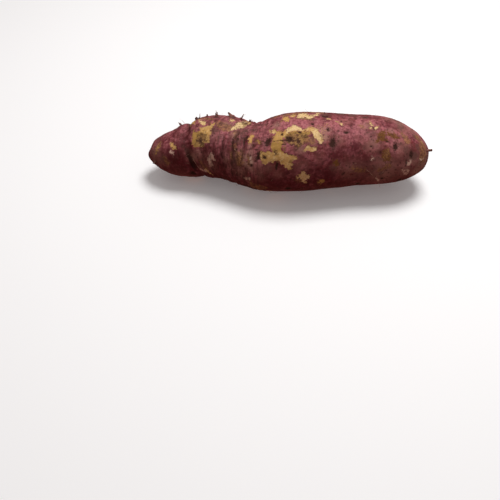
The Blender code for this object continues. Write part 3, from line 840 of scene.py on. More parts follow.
# %% List the eyes in view
Eye = namedtuple("Eye", "column row across around depth")
EYES = [
    Eye(267.3, 142, 2.2, 4.0, 0.6),
    Eye(289.3, 139, 2.0, 2.2, 0.7),
    Eye(332.8, 143.0, 2.6, 4.4, 0.75),
    Eye(395.4, 147, 1.8, 2.9, 0.6),
    Eye(276.7, 166, 0.9, 3.4, 0.4),
    Eye(258, 155.5, 1.0, 4.0, 0.4),
    Eye(281.8, 134, 0.9, 1.3, 0.4),
    Eye(299.5, 132.3, 1.6, 0.9, 0.4),
    Eye(312.6, 124, 1.1, 1.0, 0.4),
    Eye(325, 116.6, 2.8, 2.2, 0.5),
    Eye(328, 129.5, 1.2, 1.8, 0.4),
    Eye(346, 132.7, 2.0, 1.3, 0.35),
    Eye(264.5, 157.4, 1.3, 1.5, 0.3),
    Eye(201, 138.5, 2.4, 3.6, 0.0),
    Eye(334, 125.8, 0.9, 0.8, 0.2),
    Eye(371.8, 146.6, 1.0, 0.8, 0.25),
    Eye(343.3, 173.8, 1.0, 1.0, 0.25),
    Eye(247, 137, 0.9, 2.2, 0.3),
    Eye(253, 145, 0.9, 1.0, 0.25),
    Eye(411.5, 155, 1.5, 3.6, 0.25),
    Eye(406, 163, 1.0, 3.0, 0.2),
    Eye(365.5, 117.7, 1.8, 1.2, 0.25),
    Eye(387, 141.5, 1.3, 0.9, 0.2),
    Eye(341, 121, 1.1, 0.9, 0.25),
    Eye(165.8, 140, 1.1, 0.9, 0.2),
    Eye(216, 116.8, 2.2, 1.4, 0.3),
    Eye(245.5, 122.6, 1.2, 0.9, 0.2),
    Eye(197.5, 118.5, 2.0, 1.2, 0.3),
    Eye(200.5, 141.5, 0.8, 1.6, 0.2),
    Eye(236, 150, 0.8, 1.8, 0.2),
    Eye(251.5, 165.5, 0.8, 1.0, 0.2),
    Eye(382, 178.5, 1.6, 1.4, 0.3),
]
print("eyes in view:", len(EYES))

# %% Carve the eyes
EYE_ROWS = (120, 168, 212, 258, 305)
EYE_ALONG = (-84.0, 96.0)
EYE_SPACING = 30.0
EYE_STEPS = (0.7, 1.3)
EYE_SWAY = 9.0
EYE_SEED = 7
EYE_WOBBLE = 0.5
HIDDEN_EYE_ACROSS = 1.8
HIDDEN_EYE_LENGTHS = (2.4, 3.8)
HIDDEN_EYE_DEPTH = 0.5
LEAST_SHADE = 0.5


def turn_between(angle, middle):
    """The smaller turn between two angles, in radians."""
    return (angle - middle + math.pi) % (2 * math.pi) - math.pi


def place_of(point):
    """The ring number, angle and distance from the middle of one point."""
    one = np.array(point)[None, :]
    angle, radius = around(one)
    return ring_number(one[:, 0], angle)[0], angle[0], radius[0]


def eye_shape(point, across, along_ring):
    """How deep in the eye each point is: 1 in its middle, fading out."""
    ring, angle, radius = place_of(point)
    sideways = (RING - ring + EYE_WOBBLE * TORN) / across
    round_it = (turn_between(ANGLE, angle) * radius + EYE_WOBBLE * TORN) / along_ring
    return np.exp(-(sideways**2) - round_it**2)


def hidden_eyes():
    """The place and length of each eye in the rows that the picture doesn't show."""
    draw = random.Random(EYE_SEED)
    for row in EYE_ROWS:
        along = EYE_ALONG[0] + draw.uniform(0.0, EYE_SPACING)
        while along < EYE_ALONG[1]:
            degrees = row + draw.uniform(-EYE_SWAY, EYE_SWAY)
            length = draw.uniform(*HIDDEN_EYE_LENGTHS)
            yield grown_at(along, degrees)[0], length
            along += EYE_SPACING * draw.uniform(*EYE_STEPS)


def carve_eyes():
    """How deep the eyes are at each point, and how dark."""
    depth, shade = np.zeros(len(POINTS)), np.zeros(len(POINTS))
    for eye in EYES:
        shape = eye_shape(seen_at(eye.column, eye.row), eye.across, eye.around)
        depth += eye.depth * shape
        shade = np.maximum(shade, shape * min(1.0, LEAST_SHADE + eye.depth))
    for point, length in hidden_eyes():
        shape = eye_shape(point, HIDDEN_EYE_ACROSS, length)
        depth += HIDDEN_EYE_DEPTH * shape
        shade = np.maximum(shade, shape)
    return depth, shade


eye_depth, eye_shade = carve_eyes()
print("the deepest eye in mm:", eye_depth.max().round(2))

# %% [markdown]
# ## Folds and cracks
#
# A fold is a groove that follows a growth ring for a while and dies out, and the neck is
# full of them, as skin is where a limb bends. A crack is short and thin, where dry skin
# has split. A displacement texture would give grooves that are all alike. So each fold
# in view is one line of a list, pinned by one place that it passes: how deep it is, its
# half width in millimetres and how many degrees round the root it reaches. A seeded
# draw throws the folds behind.

# %% List the folds and cracks in view
Fold = namedtuple("Fold", "column row depth half_width reach")
FOLDS = [
    Fold(168, 141, 0.14, 1.2, 40),
    Fold(177, 148, 0.48, 1.1, 60),
    Fold(182, 146, 0.24, 1.0, 60),
    Fold(185.6, 150, 1.30, 3.8, 75),
    Fold(189.6, 134, 0.32, 1.0, 60),
    Fold(190.5, 160, 0.60, 1.0, 50),
    Fold(192.5, 166, 0.45, 0.7, 40),
    Fold(197, 158, 0.22, 0.9, 50),
    Fold(203, 164, 0.18, 0.8, 40),
    Fold(213, 150, 0.14, 0.9, 40),
    Fold(221, 153, 0.34, 1.1, 60),
    Fold(226, 146, 0.14, 0.8, 45),
    Fold(232.5, 148, 0.50, 0.9, 100),
    Fold(236, 143, 0.24, 0.7, 40),
    Fold(239, 150, 0.30, 0.7, 50),
    Fold(243.5, 144, 0.36, 0.7, 60),
    Fold(247, 138, 0.32, 0.7, 45),
    Fold(252, 142, 0.12, 0.8, 60),
    Fold(255.5, 150, 0.16, 0.7, 40),
    Fold(258.5, 146, 0.30, 0.8, 45),
    Fold(263, 135, 0.18, 0.8, 45),
    Fold(271, 124, 0.14, 0.9, 40),
]
CRACKS = each(Stroke, [
    (272.5, 141.4, 281, 140.4, 0.4), (281, 140.4, 291, 140.6, 0.45),
    (281.5, 144.7, 286, 144.1, 0.4), (373, 127, 374.3, 130, 0.5), (233, 137, 232, 146, 0.6),
    (238.8, 132, 237.8, 139, 0.5), (244.5, 138, 243.5, 145, 0.6), (247.2, 135.5, 246, 140, 0.6),
    (258.6, 152.5, 257.8, 158.5, 0.6),
])
print("folds and cracks in view:", len(FOLDS), "and", len(CRACKS))

# %% Carve the folds
FOLD_SEED = 31
HIDDEN_FOLDS = 46
HIDDEN_FOLD_ALONG = (-98.0, 4.0, -38.0)
HIDDEN_FOLD_REACHES = (18.0, 60.0)
HIDDEN_FOLD_DEPTHS = (0.12, 0.34)
HIDDEN_FOLD_WIDTHS = (0.6, 1.1)
WOBBLE = 1.1
FINE_WOBBLE = 0.35
MEAN_STRENGTH = 0.75
STRENGTH_CHANGE = 0.6
DIRT_AND_SHADE_WIDTH = 2.0


def bell(distance, half_width):
    """1 at no distance, fading out on both sides in the shape of a bell."""
    return np.exp(-((distance / half_width) ** 2))


def hidden_folds(wobble):
    """The grooves that a seeded draw throws round the neck. Most pass near its waist."""
    draw = random.Random(FOLD_SEED)
    for _ in range(HIDDEN_FOLDS):
        ring = draw.triangular(*HIDDEN_FOLD_ALONG)
        angle = math.radians(draw.uniform(0.0, 360.0))
        reach = bell(turn_between(ANGLE, angle), math.radians(draw.uniform(*HIDDEN_FOLD_REACHES)))
        depth = draw.uniform(*HIDDEN_FOLD_DEPTHS)
        yield depth * bell(RING + wobble - ring, draw.uniform(*HIDDEN_FOLD_WIDTHS)), reach


def carve_folds():
    """The depth of all folds, and of those alone that are narrow enough to be darkened
    with dirt and painted shade.
    """
    depth, cleft = np.zeros(len(POINTS)), np.zeros(len(POINTS))
    wobble = WOBBLE * noise_over(GROWN, size=9.0, seed=1)
    wobble += FINE_WOBBLE * noise_over(GROWN, size=3.0, seed=6)
    strength = MEAN_STRENGTH + STRENGTH_CHANGE * noise_over(GROWN, size=6.0, seed=8)
    for fold in FOLDS:
        ring, angle, _ = place_of(seen_at(fold.column, fold.row))
        reach = bell(turn_between(ANGLE, angle), math.radians(fold.reach))
        groove = fold.depth * strength * reach * bell(RING + wobble - ring, fold.half_width)
        depth += groove
        cleft += groove * (fold.half_width < DIRT_AND_SHADE_WIDTH)
    for groove, reach in hidden_folds(wobble):
        depth += groove * strength * reach
        cleft += groove * strength * reach
    return depth, cleft


fold_depth, cleft_depth = carve_folds()
print("the deepest fold in mm:", fold_depth.max().round(2))

# %% [markdown]
# ## The crinkle of the neck
#
# Where the neck has been squeezed, the skin between the folds is crinkled like a dried
# fruit. Smooth noise has no creases, but noise folded at its middle has: what was
# below zero is turned up, and the zero line becomes a sharp valley. The noise is
# stretched round the root, so that the valleys run along the rings. Dirt and painted
# shade darken them a little, and the cracks are darkened as well.

# %% Crinkle the neck and open the cracks
CRINKLE_ZONE = (-84.0, -50.0, -22.0, -8.0)
CRINKLE_DEPTH = 0.45
CRINKLE_ALONG = 2.6
CRINKLE_ROUND = 11.0
CRINKLE_SHARPNESS = 3.2
CRINKLE_DIRT_AND_SHADE = 0.35
CRACK_WOBBLE = 0.22
CRACK_DEPTH = 0.25
CRACK_SHADE = 0.75


def squeezed_zone():
    """1 in the squeezed part of the neck, 0 elsewhere."""
    start, full, ebb, end = CRINKLE_ZONE
    return rise_to(RING, start, full) * (1.0 - rise_to(RING, ebb, end))


def crinkle():
    """Sharp shallow valleys round the neck."""
    sizes = (CRINKLE_ALONG, CRINKLE_ROUND, CRINKLE_ROUND)
    valleys = 1.0 - np.abs(noise_over(GROWN / sizes, size=1.0, seed=9)) * CRINKLE_SHARPNESS
    return CRINKLE_DEPTH * neck_zone**2 * np.clip(valleys, 0.0, 1.0) ** 2


def carve_cracks():
    """How deep in a crack each point is: 1 in its middle, fading out."""
    shape = np.zeros(len(POINTS))
    for crack in CRACKS:
        away = crack.half_width - seen_stroke(crack) + CRACK_WOBBLE * TORN
        shape = np.maximum(shape, bell(away, crack.half_width))
    return shape


neck_zone = squeezed_zone()
neck_crinkle = crinkle()
crack_shape = carve_cracks()
fold_depth += neck_crinkle
fold_depth += CRACK_DEPTH * crack_shape
cleft_depth += neck_crinkle * CRINKLE_DIRT_AND_SHADE
eye_shade = np.maximum(eye_shade, CRACK_SHADE * crack_shape)
print("the deepest valley of the crinkle in mm:", neck_crinkle.max().round(2))

# %% [markdown]
# ## Move the skin
#
# All relief is added up along the skin's normal: soft lumps of four sizes, a few swollen
# feet of rootlets, the eyes and folds, and the marks. A scraped patch lies a little lower
# than the skin around it and has a slightly raised rim, because the skin has peeled off.
# A corky scar is rough. Near the resting spots nothing is moved, so that the root still
# lies flat.

# %% Add up the relief and move the points
Swelling = namedtuple("Swelling", "column row rise radius")
SWELLINGS = [
    Swelling(148.8, 154.5, 0.6, 4.0),
    Swelling(155.5, 141.5, 1.0, 5.0),
    Swelling(180, 126, 1.2, 6.0),
    Swelling(187, 125, 1.1, 4.0),
    Swelling(194, 125, 1.8, 5.0),
    Swelling(261, 124, 1.8, 5.0),
    Swelling(273, 118.5, 0.8, 6.0),
]
Lump = namedtuple("Lump", "height size seed along")
LUMPS = [
    Lump(0.34, 16.0, 2, 1.0),
    Lump(0.16, 6.0, 7, 0.5),
    Lump(0.12, 8.0, 3, 2.2),
    Lump(0.07, 3.2, 4, 2.2),
]
REST_HEIGHT = 1.2
EDGE_WIDTH = 0.7
SCRAPE_DEPTH = 0.14
RIM_HEIGHT = 0.06
RIM_PLACE = 0.4
RIM_WIDTH = 0.5
SCAR_DEPTH = 0.10
SCAR_ROUGHNESS = 0.28
SCURF_ROUGHNESS = 0.06


def soft_lumps():
    """The soft forms of the skin, in millimetres outward."""
    height = np.zeros(len(POINTS))
    for lump in LUMPS:
        place = GROWN * np.array([lump.along, 1.0, 1.0])
        height += lump.height * noise_over(place, lump.size, lump.seed)
    return height


def relief():
    """How far each point moves outward, in millimetres."""
    height = soft_lumps()
    height -= eye_depth + fold_depth
    inside = rise_to(scrape, -EDGE_WIDTH / 2, EDGE_WIDTH / 2)
    height += RIM_HEIGHT * bell(scrape + RIM_PLACE, RIM_WIDTH) - SCRAPE_DEPTH * inside
    rough = noise_over(POINTS, size=1.6, seed=5)
    height += rise_to(scar, -EDGE_WIDTH, EDGE_WIDTH) * (SCAR_ROUGHNESS * rough - SCAR_DEPTH)
    height += rise_to(scurf, -EDGE_WIDTH, EDGE_WIDTH) * SCURF_ROUGHNESS * rough
    for swelling in SWELLINGS:
        height += soft_spot(seen_at(swelling.column, swelling.row), swelling.radius, swelling.rise)
    return height


height = relief() * rise_to(POINTS[:, 2], 0.0, REST_HEIGHT)
moved = POINTS + NORMALS * height[:, None]
moved[:, 2] = np.maximum(moved[:, 2], 0.0)
skin.data.vertices.foreach_set("co", (moved * MM).ravel())
skin.data.shade_smooth()
skin.data.update()
print("the relief runs from", height.min().round(2), "to", height.max().round(2), "mm")

# %% [markdown]
# ## Notes on the skin for the material
#
# A material can't know where a scrape is. A painted image could tell it, but it would
# need an unwrapped mesh and a file. So the fields are stored on the skin's points as
# named attributes. One more attribute, grown, is a place that follows the leaning rings.
# When noise is looked up by it, streaks run round the root along its rings, as they do
# on the real skin, and not straight up and down.

# %% Store the fields as attributes
DEEPEST_NOTE = 2.0
NOTES = {
    "scrape": scrape,
    "fresh": fresh,
    # flush: pinker skin, and painted light on the upper side and on a ridge of the neck
    "scar": scar,
    "scurf": scurf,
    "stain": stain,
    "pale": pale,
    "soiled": soiled,
    "flush_and_painted_light": flush_and_painted_light,
    # dark: dark skin, and painted shade on the underside and in the crease
    "dark": dark,
    # dust: dust, and painted light on a ridge of the neck
    "dust_and_painted_light": dust_and_painted_light,
    "flecked": flecked,
    "neck": neck_zone,
    "eye": eye_shade,
    # fold: how much a fold is darkened, by dirt and painted shade
    "fold": np.clip(cleft_depth, 0.0, DEEPEST_NOTE),
}
for name, values in NOTES.items():
    layer = skin.data.attributes.new(name, "FLOAT", "POINT")
    layer.data.foreach_set("value", values.astype(np.float32))
grown = skin.data.attributes.new("grown", "FLOAT_VECTOR", "POINT")
grown.data.foreach_set("vector", GROWN.astype(np.float32).ravel())
print("notes on the skin:", len(NOTES), "and the place", grown.name)

# %% [markdown]
# ## Small helpers for materials
#
# A material is a tree of nodes. Writing every link out by hand takes many lines, so a few
# helpers do it: one adds a node and fills its inputs, one does a sum, one blends two
# colours, one fades a number in, and one looks up noise. An input may be a number, a
# colour or another node's output.

# %% Make the node helpers
def add_node(tree, kind, inputs=None, **settings):
    """A node of that kind, with its settings made and its named inputs filled or linked."""
    node = tree.nodes.new(kind)
    for name, value in settings.items():
        setattr(node, name, value)
    for name, value in (inputs or {}).items():
        if isinstance(value, bpy.types.NodeSocket):
            tree.links.new(value, node.inputs[name])
        else:
            node.inputs[name].default_value = value
    return node


def sum_of(tree, operation, *numbers):
    """The result of one sum of up to three numbers."""
    inputs = dict(enumerate(numbers))
    return add_node(tree, "ShaderNodeMath", inputs, operation=operation).outputs[0]


def times_plus(tree, first, second, third):
    """The first number times the second, plus the third."""
    return sum_of(tree, "MULTIPLY_ADD", first, second, third)


def blend_colours(tree, share, first, second):
    """The first colour at share 0 and the second at share 1. The node keeps its colour
    sockets at places 6 and 7 going in, and at place 2 coming out."""
    node = add_node(tree, "ShaderNodeMix", {0: share, 6: first, 7: second}, data_type="RGBA")
    return node.outputs[2]


def fade(tree, value, low, high):
    """0 at low and 1 at high, with a smooth curve between them. Low may be above high."""
    inputs = {"Value": value, "From Min": low, "From Max": high}
    node = add_node(tree, "ShaderNodeMapRange", inputs, interpolation_type="SMOOTHSTEP")
    return node.outputs["Result"]


def noise_at(tree, place, scale, detail, rough):
    """Noise from 0 to 1 with that many lumps to a millimetre."""
    inputs = {"Vector": place, "Scale": scale, "Detail": detail, "Roughness": rough}
    return add_node(tree, "ShaderNodeTexNoise", inputs).outputs["Fac"]


def stretched(tree, place, along, across):
    """The place with its first number and its other two scaled, so noise comes out long."""
    inputs = {0: place, 1: (along, across, across)}
    return add_node(tree, "ShaderNodeVectorMath", inputs, operation="MULTIPLY").outputs[0]


def paint(red, green, blue):
    """A colour as it is read off a screen, 0 to 255, in the linear values that shaders use."""
    shares = [channel / 255.0 for channel in (red, green, blue)]
    linear = [s / 12.92 if s <= 0.04045 else ((s + 0.055) / 1.055) ** 2.4 for s in shares]
    return (*linear, 1.0)


print("a middle grey in linear light:", round(paint(128, 128, 128)[0], 3))

# %% [markdown]
# ## Effects that several materials share
#
# The rootlets are the same stuff as the root, so soil and cork grain turn up on both. Each
# is a node group: a little machine with its own inputs and outputs, built once and placed
# in each material with other values. Soil gathers in patches and takes the shine off.
# Cork grain is a rough, broken texture of two sizes. Its Height output is for bump.

# %% Build the soil group
SOIL_EDGE = 0.18
SOIL_COVER = 0.7
SOIL_REACH = 0.45


def new_group(name, inputs, outputs):
    """An empty node group with those sockets, and its two end nodes."""
    group = bpy.data.node_groups.new(name, "ShaderNodeTree")
    for label, kind, value in inputs:
        socket = group.interface.new_socket(label, in_out="INPUT", socket_type=kind)
        if value is not None:
            socket.default_value = value
    for label, kind in outputs:
        group.interface.new_socket(label, in_out="OUTPUT", socket_type=kind)
    return group, group.nodes.new("NodeGroupInput"), group.nodes.new("NodeGroupOutput")


def build_soil():
    """Soil in patches over a base colour. Amount 0 is clean, and 1 mostly covered."""
    inputs = [
        ("Place", "NodeSocketVector", None),
        ("Amount", "NodeSocketFloat", 0.3),
        ("Patch Size", "NodeSocketFloat", 12.0),
        ("Colour", "NodeSocketColor", paint(120, 98, 78)),
        ("Base", "NodeSocketColor", paint(120, 60, 60)),
    ]
    outputs = [("Colour", "NodeSocketColor"), ("Mask", "NodeSocketFloat")]
    group, start, end = new_group("soil", inputs, outputs)
    scale = sum_of(group, "DIVIDE", 1.0, start.outputs["Patch Size"])
    patches = noise_at(group, start.outputs["Place"], scale, 4.0, 0.65)
    crumbs = noise_at(group, start.outputs["Place"], 0.9, 3.0, 0.65)
    both = times_plus(group, crumbs, 0.5, patches)
    edge = times_plus(group, start.outputs["Amount"], -SOIL_REACH, 1.0)
    mask = fade(group, both, edge, sum_of(group, "ADD", edge, SOIL_EDGE))
    mask = sum_of(group, "MULTIPLY", mask, SOIL_COVER)
    colour = blend_colours(group, mask, start.outputs["Base"], start.outputs["Colour"])
    group.links.new(colour, end.inputs["Colour"])
    group.links.new(mask, end.inputs["Mask"])
    return group


def soil_node(tree, place, base, amount, patch_size, colour):
    """The soil group placed in a material, over a base colour."""
    inputs = {"Place": place, "Base": base, "Amount": amount, "Patch Size": patch_size}
    return add_node(tree, "ShaderNodeGroup", inputs | {"Colour": colour}, node_tree=SOIL)


SOIL = build_soil()
print("soil is a group of", len(SOIL.nodes), "nodes")


# %% Build the cork group
CORK_SHADES = (0.66, 0.86)


def build_cork():
    """Broken corky grain in two colours. Grain is how high the bumps of Height are."""
    inputs = [
        ("Place", "NodeSocketVector", None),
        ("Light", "NodeSocketColor", paint(190, 150, 96)),
        ("Dark", "NodeSocketColor", paint(84, 60, 40)),
        ("Grain", "NodeSocketFloat", 1.0),
    ]
    outputs = [("Colour", "NodeSocketColor"), ("Height", "NodeSocketFloat")]
    group, start, end = new_group("cork", inputs, outputs)
    coarse = noise_at(group, start.outputs["Place"], 0.34, 4.0, 0.7)
    fine_place = stretched(group, start.outputs["Place"], 1.6, 1.0)
    fine = noise_at(group, fine_place, 1.4, 3.0, 0.65)
    height = times_plus(group, fine, 0.5, coarse)
    share = fade(group, height, *CORK_SHADES)
    colour = blend_colours(group, share, start.outputs["Dark"], start.outputs["Light"])
    group.links.new(colour, end.inputs["Colour"])
    grain = sum_of(group, "MULTIPLY", height, start.outputs["Grain"])
    group.links.new(grain, end.inputs["Height"])
    return group


def cork_node(tree, place, light, dark, grain):
    """The cork group placed in a material, in that light and that dark shade."""
    inputs = {"Place": place, "Light": light, "Dark": dark, "Grain": grain}
    return add_node(tree, "ShaderNodeGroup", inputs, node_tree=CORK)


CORK = build_cork()
print("cork is a group of", len(CORK.nodes), "nodes")

# %% [markdown]
# ## The paints of the skin
#
# The skin is thin, and its colour isn't even: plum where it is clean, pinker where it is
# thin, browner where it is old or soiled. Each shade gets a name once, as it would stand
# on a shelf, and the material mixes from those alone. One helper coats a colour with a
# paint where a mask is, and one turns a note into a mask with a torn edge.

# %% Name the paints and make the coats
PLUM = paint(123, 42, 48)
PINK = paint(179, 103, 108)
BLUSH = paint(204, 136, 135)
WINE = paint(82, 20, 26)
MAUVE = paint(130, 60, 73)
RUSSET = paint(122, 62, 56)
UMBER = paint(78, 42, 37)
OLIVE = paint(114, 73, 30)
GREY_SOIL = paint(108, 73, 66)
DUST = paint(164, 118, 106)
CREAM = paint(234, 201, 147)
TAN = paint(198, 152, 88)
OCHRE = paint(169, 129, 68)
BARK = paint(84, 56, 40)
LIGHT_CORK = paint(174, 132, 80)
DARK_CORK = paint(74, 49, 33)
SOOT = paint(54, 31, 21)
# DEEP is painted shade in the crease between the lobes, and in the folds together with dirt.
DEEP = paint(60, 27, 24)
CHALK = paint(226, 188, 168)
SCURF_LIGHT = paint(168, 118, 76)
SCURF_DARK = paint(110, 72, 52)


def read_note(tree, name):
    """The number that the skin's attribute of that name holds at each point."""
    return add_node(tree, "ShaderNodeAttribute", attribute_name=name).outputs["Fac"]


def share_of(tree, mask, amount):
    """The mask, weakened to that amount or by that other mask."""
    return sum_of(tree, "MULTIPLY", mask, amount)


def coat(tree, colour, over, mask, strength=None):
    """The colour with a paint laid over it where the mask is, at that strength."""
    if strength is not None:
        mask = share_of(tree, mask, strength)
    return blend_colours(tree, mask, colour, over)


def torn_mask(tree, name, tear, roughness, soft):
    """The mark of that name as 0 or 1, with its edge torn by noise; sizes in millimetres."""
    field = times_plus(tree, tear, roughness, read_note(tree, name))
    return fade(tree, field, -soft / 2, soft / 2)


def spots_at(tree, place, scale):
    """The distance to the nearest of some scattered points, that many to a millimetre."""
    inputs = {"Vector": place, "Scale": scale}
    return add_node(tree, "ShaderNodeTexVoronoi", inputs).outputs["Distance"]


print("plum in linear light:", [round(v, 3) for v in PLUM])

# %% [markdown]
# ## The skin's own colour
#
# One noise would give clouds of one size, and the real skin has them at every size. So
# several noises are looked up: broad drifts and clouds, blotches of a few millimetres,
# fine mottling, and streaks that run round the root. The notes push them up or down, so
# that a flushed place and a place of painted light turn pink where the clouds already
# lean that way, and no edge of a spot shows. Dark dots the size of a pinhead are the
# skin's pores.

# %% Start the skin material
SKIN_SPECULAR = 0.16
TINTS = ("soiled", "flush_and_painted_light", "dark", "dust_and_painted_light")


def start_material(name, specular):
    """A material with that faint a shine. Gives it with its node tree and its shader."""
    material = bpy.data.materials.new(name)
    material.use_nodes = True
    shader = material.node_tree.nodes["Principled BSDF"]
    shader.inputs["Specular IOR Level"].default_value = specular
    return material, material.node_tree, shader


def skin_noises(tree, place):
    """The noises that the skin is mixed from, by name. Tear has its middle at 0."""
    return {
        "clouds": noise_at(tree, stretched(tree, place, 0.6, 1.0), 0.06, 4.0, 0.6),
        "blotches": noise_at(tree, stretched(tree, place, 0.8, 1.0), 0.2, 5.0, 0.7),
        "smudges": noise_at(tree, place, 0.31, 3.0, 0.5),
        "mottle": noise_at(tree, place, 0.55, 5.0, 0.7),
        "streaks": noise_at(tree, stretched(tree, place, 1.0, 0.25), 0.8, 3.0, 0.6),
        "drift": noise_at(tree, place, 0.14, 4.0, 0.6),
        "tear": sum_of(tree, "SUBTRACT", noise_at(tree, place, 0.7, 5.0, 0.75), 0.5),
    }


SKIN_PAINT, TREE, SHADER = start_material("skin_of_the_root", SKIN_SPECULAR)
PLACE = add_node(TREE, "ShaderNodeAttribute", attribute_name="grown").outputs["Vector"]
TINT = {name: read_note(TREE, name) for name in TINTS}
NOISE = skin_noises(TREE, PLACE)
print("the skin's noises:", ", ".join(NOISE))


# %% Mix the skin's own colour
def pink_and_brown(tree):
    """Plum, turned pink, pale, mauve or brown where the noises and the notes say so."""
    pinkness = share_of(tree, NOISE["clouds"], 0.45)
    # The flush note holds pinker skin, and painted light on the upper side and on a ridge of the
    # neck.
    pinkness = times_plus(tree, TINT["flush_and_painted_light"], 0.12, pinkness)
    pinkness = times_plus(tree, NOISE["blotches"], 0.55, pinkness)
    colour = coat(tree, PLUM, PINK, fade(tree, pinkness, 0.44, 0.60))
    paleness = times_plus(tree, TINT["flush_and_painted_light"], -0.06, NOISE["mottle"])
    colour = coat(tree, colour, BLUSH, fade(tree, paleness, 0.46, 0.32), 0.4)
    colour = coat(tree, colour, MAUVE, fade(tree, NOISE["drift"], 0.47, 0.36), 0.55)
    brownness = times_plus(tree, TINT["soiled"], 0.10, NOISE["drift"])
    colour = coat(tree, colour, RUSSET, fade(tree, brownness, 0.51, 0.64), 0.6)
    return coat(tree, colour, UMBER, TINT["soiled"], 0.5)


def darkened_and_lightened(tree, colour):
    """The colour, darkened to wine by dark skin and by painted shade, dusted by dust and
    by painted light, and dotted with pores.
    """
    # Wine: dark skin, and painted shade on the underside and in the crease.
    colour = coat(tree, colour, WINE, TINT["dark"], 0.5)
    darkness = share_of(tree, NOISE["smudges"], 0.6)
    darkness = times_plus(tree, NOISE["mottle"], 0.4, darkness)
    darkness = times_plus(tree, TINT["dark"], 0.10, darkness)
    darkness = times_plus(tree, TINT["dust_and_painted_light"], -0.12, darkness)
    colour = coat(tree, colour, WINE, fade(tree, darkness, 0.46, 0.64), 0.7)
    colour = coat(tree, colour, WINE, fade(tree, NOISE["streaks"], 0.50, 0.68), 0.35)
    # Painted shade: the deepest dark spots, in the crease, turn deep brown.
    colour = coat(tree, colour, DEEP, fade(tree, TINT["dark"], 1.1, 1.8), 0.7)
    # Dust, and painted light on a ridge of the neck.
    colour = coat(tree, colour, DUST, fade(tree, NOISE["smudges"], 0.18, 0.48), TINT["dust_and_painted_light"])
    pores = times_plus(tree, NOISE["mottle"], -0.4, spots_at(tree, PLACE, 0.30))
    return coat(tree, colour, UMBER, fade(tree, pores, 0.07, -0.03), 0.6)


ground = darkened_and_lightened(TREE, pink_and_brown(TREE))
print("nodes for the skin's own colour:", len(TREE.nodes))

# %% [markdown]
# ## The marks over it
#
# The marks are laid over the skin's colour one by one, in the order in which they lie:
# soil, which every later mark cuts through, stains and scurf in the skin, scrapes through
# it, scars and pale scars grown on top, and last dark lines in the wrinkles, dirt and
# painted shade in the folds, and the eyes.
# Every mask gets its edge broken up by the same fine noise, tear, so that they look like
# marks in one skin.

# %% Lay the soil, the stains and the scurf
SOIL_PATCH = 7.0


def lay_soil(tree, colour):
    """The soil group over a colour: most where the skin is soiled, least where dark."""
    amount = times_plus(tree, TINT["soiled"], 0.55, 0.38)
    amount = times_plus(tree, TINT["dark"], -0.25, amount)
    return soil_node(tree, PLACE, colour, amount, SOIL_PATCH, GREY_SOIL)


def lay_stains(tree, colour):
    """Olive stains, most torn of all, and tan scurf. Gives the stains' mask as well."""
    tear, mottle = NOISE["tear"], NOISE["mottle"]
    stain_mask = sum_of(tree, "ADD", read_note(tree, "stain"), 0.5)
    stain_mask = times_plus(tree, tear, 12.0, stain_mask)
    stain_mask = share_of(tree, fade(tree, stain_mask, -0.5, 0.7), 0.92)
    stain_colour = coat(tree, OLIVE, UMBER, fade(tree, mottle, 0.50, 0.66))
    colour = coat(tree, colour, stain_colour, stain_mask)
    scurf_colour = coat(tree, SCURF_DARK, SCURF_LIGHT, fade(tree, mottle, 0.42, 0.58))
    colour = coat(tree, colour, scurf_colour, torn_mask(tree, "scurf", tear, 9.0, 2.2), 0.8)
    return colour, stain_mask


soil_layer = lay_soil(TREE, ground)
stained, stain_mask = lay_stains(TREE, soil_layer.outputs["Colour"])
print("nodes with the soil, stains and scurf:", len(TREE.nodes))


# %% Lay the scrapes
def lay_scrapes(tree, colour):
    """Bare flesh with a brown rim: ochre when old, tan, and cream when fresh, with specks
    of bark left on the older ones. Gives the mask of the bare flesh as well."""
    tear, blotches = NOISE["tear"], NOISE["blotches"]
    patchy = fade(tree, blotches, 0.42, 0.56)
    rim = share_of(tree, torn_mask(tree, "scrape", tear, 4.0, 2.0), patchy)
    colour = coat(tree, colour, UMBER, rim, 0.7)
    note = read_note(tree, "fresh")
    freshness = times_plus(tree, NOISE["mottle"], 1.3, note)
    flesh = coat(tree, OCHRE, TAN, fade(tree, freshness, 0.70, 1.25))
    flesh = coat(tree, flesh, CREAM, fade(tree, freshness, 1.20, 1.75))
    flesh = coat(tree, flesh, OCHRE, fade(tree, blotches, 0.52, 0.62), 0.5)
    specks = fade(tree, tear, 0.10, 0.18)
    flesh = coat(tree, flesh, BARK, specks, fade(tree, note, 0.9, 0.3))
    flesh_mask = torn_mask(tree, "scrape", tear, 8.0, 0.9)
    return coat(tree, colour, flesh, flesh_mask), flesh_mask


scraped, flesh_mask = lay_scrapes(TREE, stained)
print("nodes with the scrapes:", len(TREE.nodes))

# %% Lay the scars and the flecks
SCAR_GRAIN = 1.6


def lay_scars(tree, colour):
    """Corky scars, pale scars and tan flecks. Gives the scars' mask and their relief too."""
    tear = NOISE["tear"]
    cork = cork_node(tree, PLACE, LIGHT_CORK, DARK_CORK, SCAR_GRAIN)
    scar_mask = torn_mask(tree, "scar", tear, 8.0, 1.6)
    colour = coat(tree, colour, cork.outputs["Colour"], scar_mask, 0.9)
    colour = coat(tree, colour, CHALK, torn_mask(tree, "pale", tear, 6.0, 1.2), 0.85)
    flecks = times_plus(tree, tear, 0.9, spots_at(tree, PLACE, 1.0))
    where = fade(tree, read_note(tree, "flecked"), 0.15, 0.6)
    flecks = share_of(tree, fade(tree, flecks, 0.36, 0.26), where)
    colour = coat(tree, colour, TAN, flecks, 0.8)
    return colour, scar_mask, share_of(tree, cork.outputs["Height"], scar_mask)


scarred, scar_mask, scar_grain = lay_scars(TREE, scraped)
print("nodes with the scars and flecks:", len(TREE.nodes))


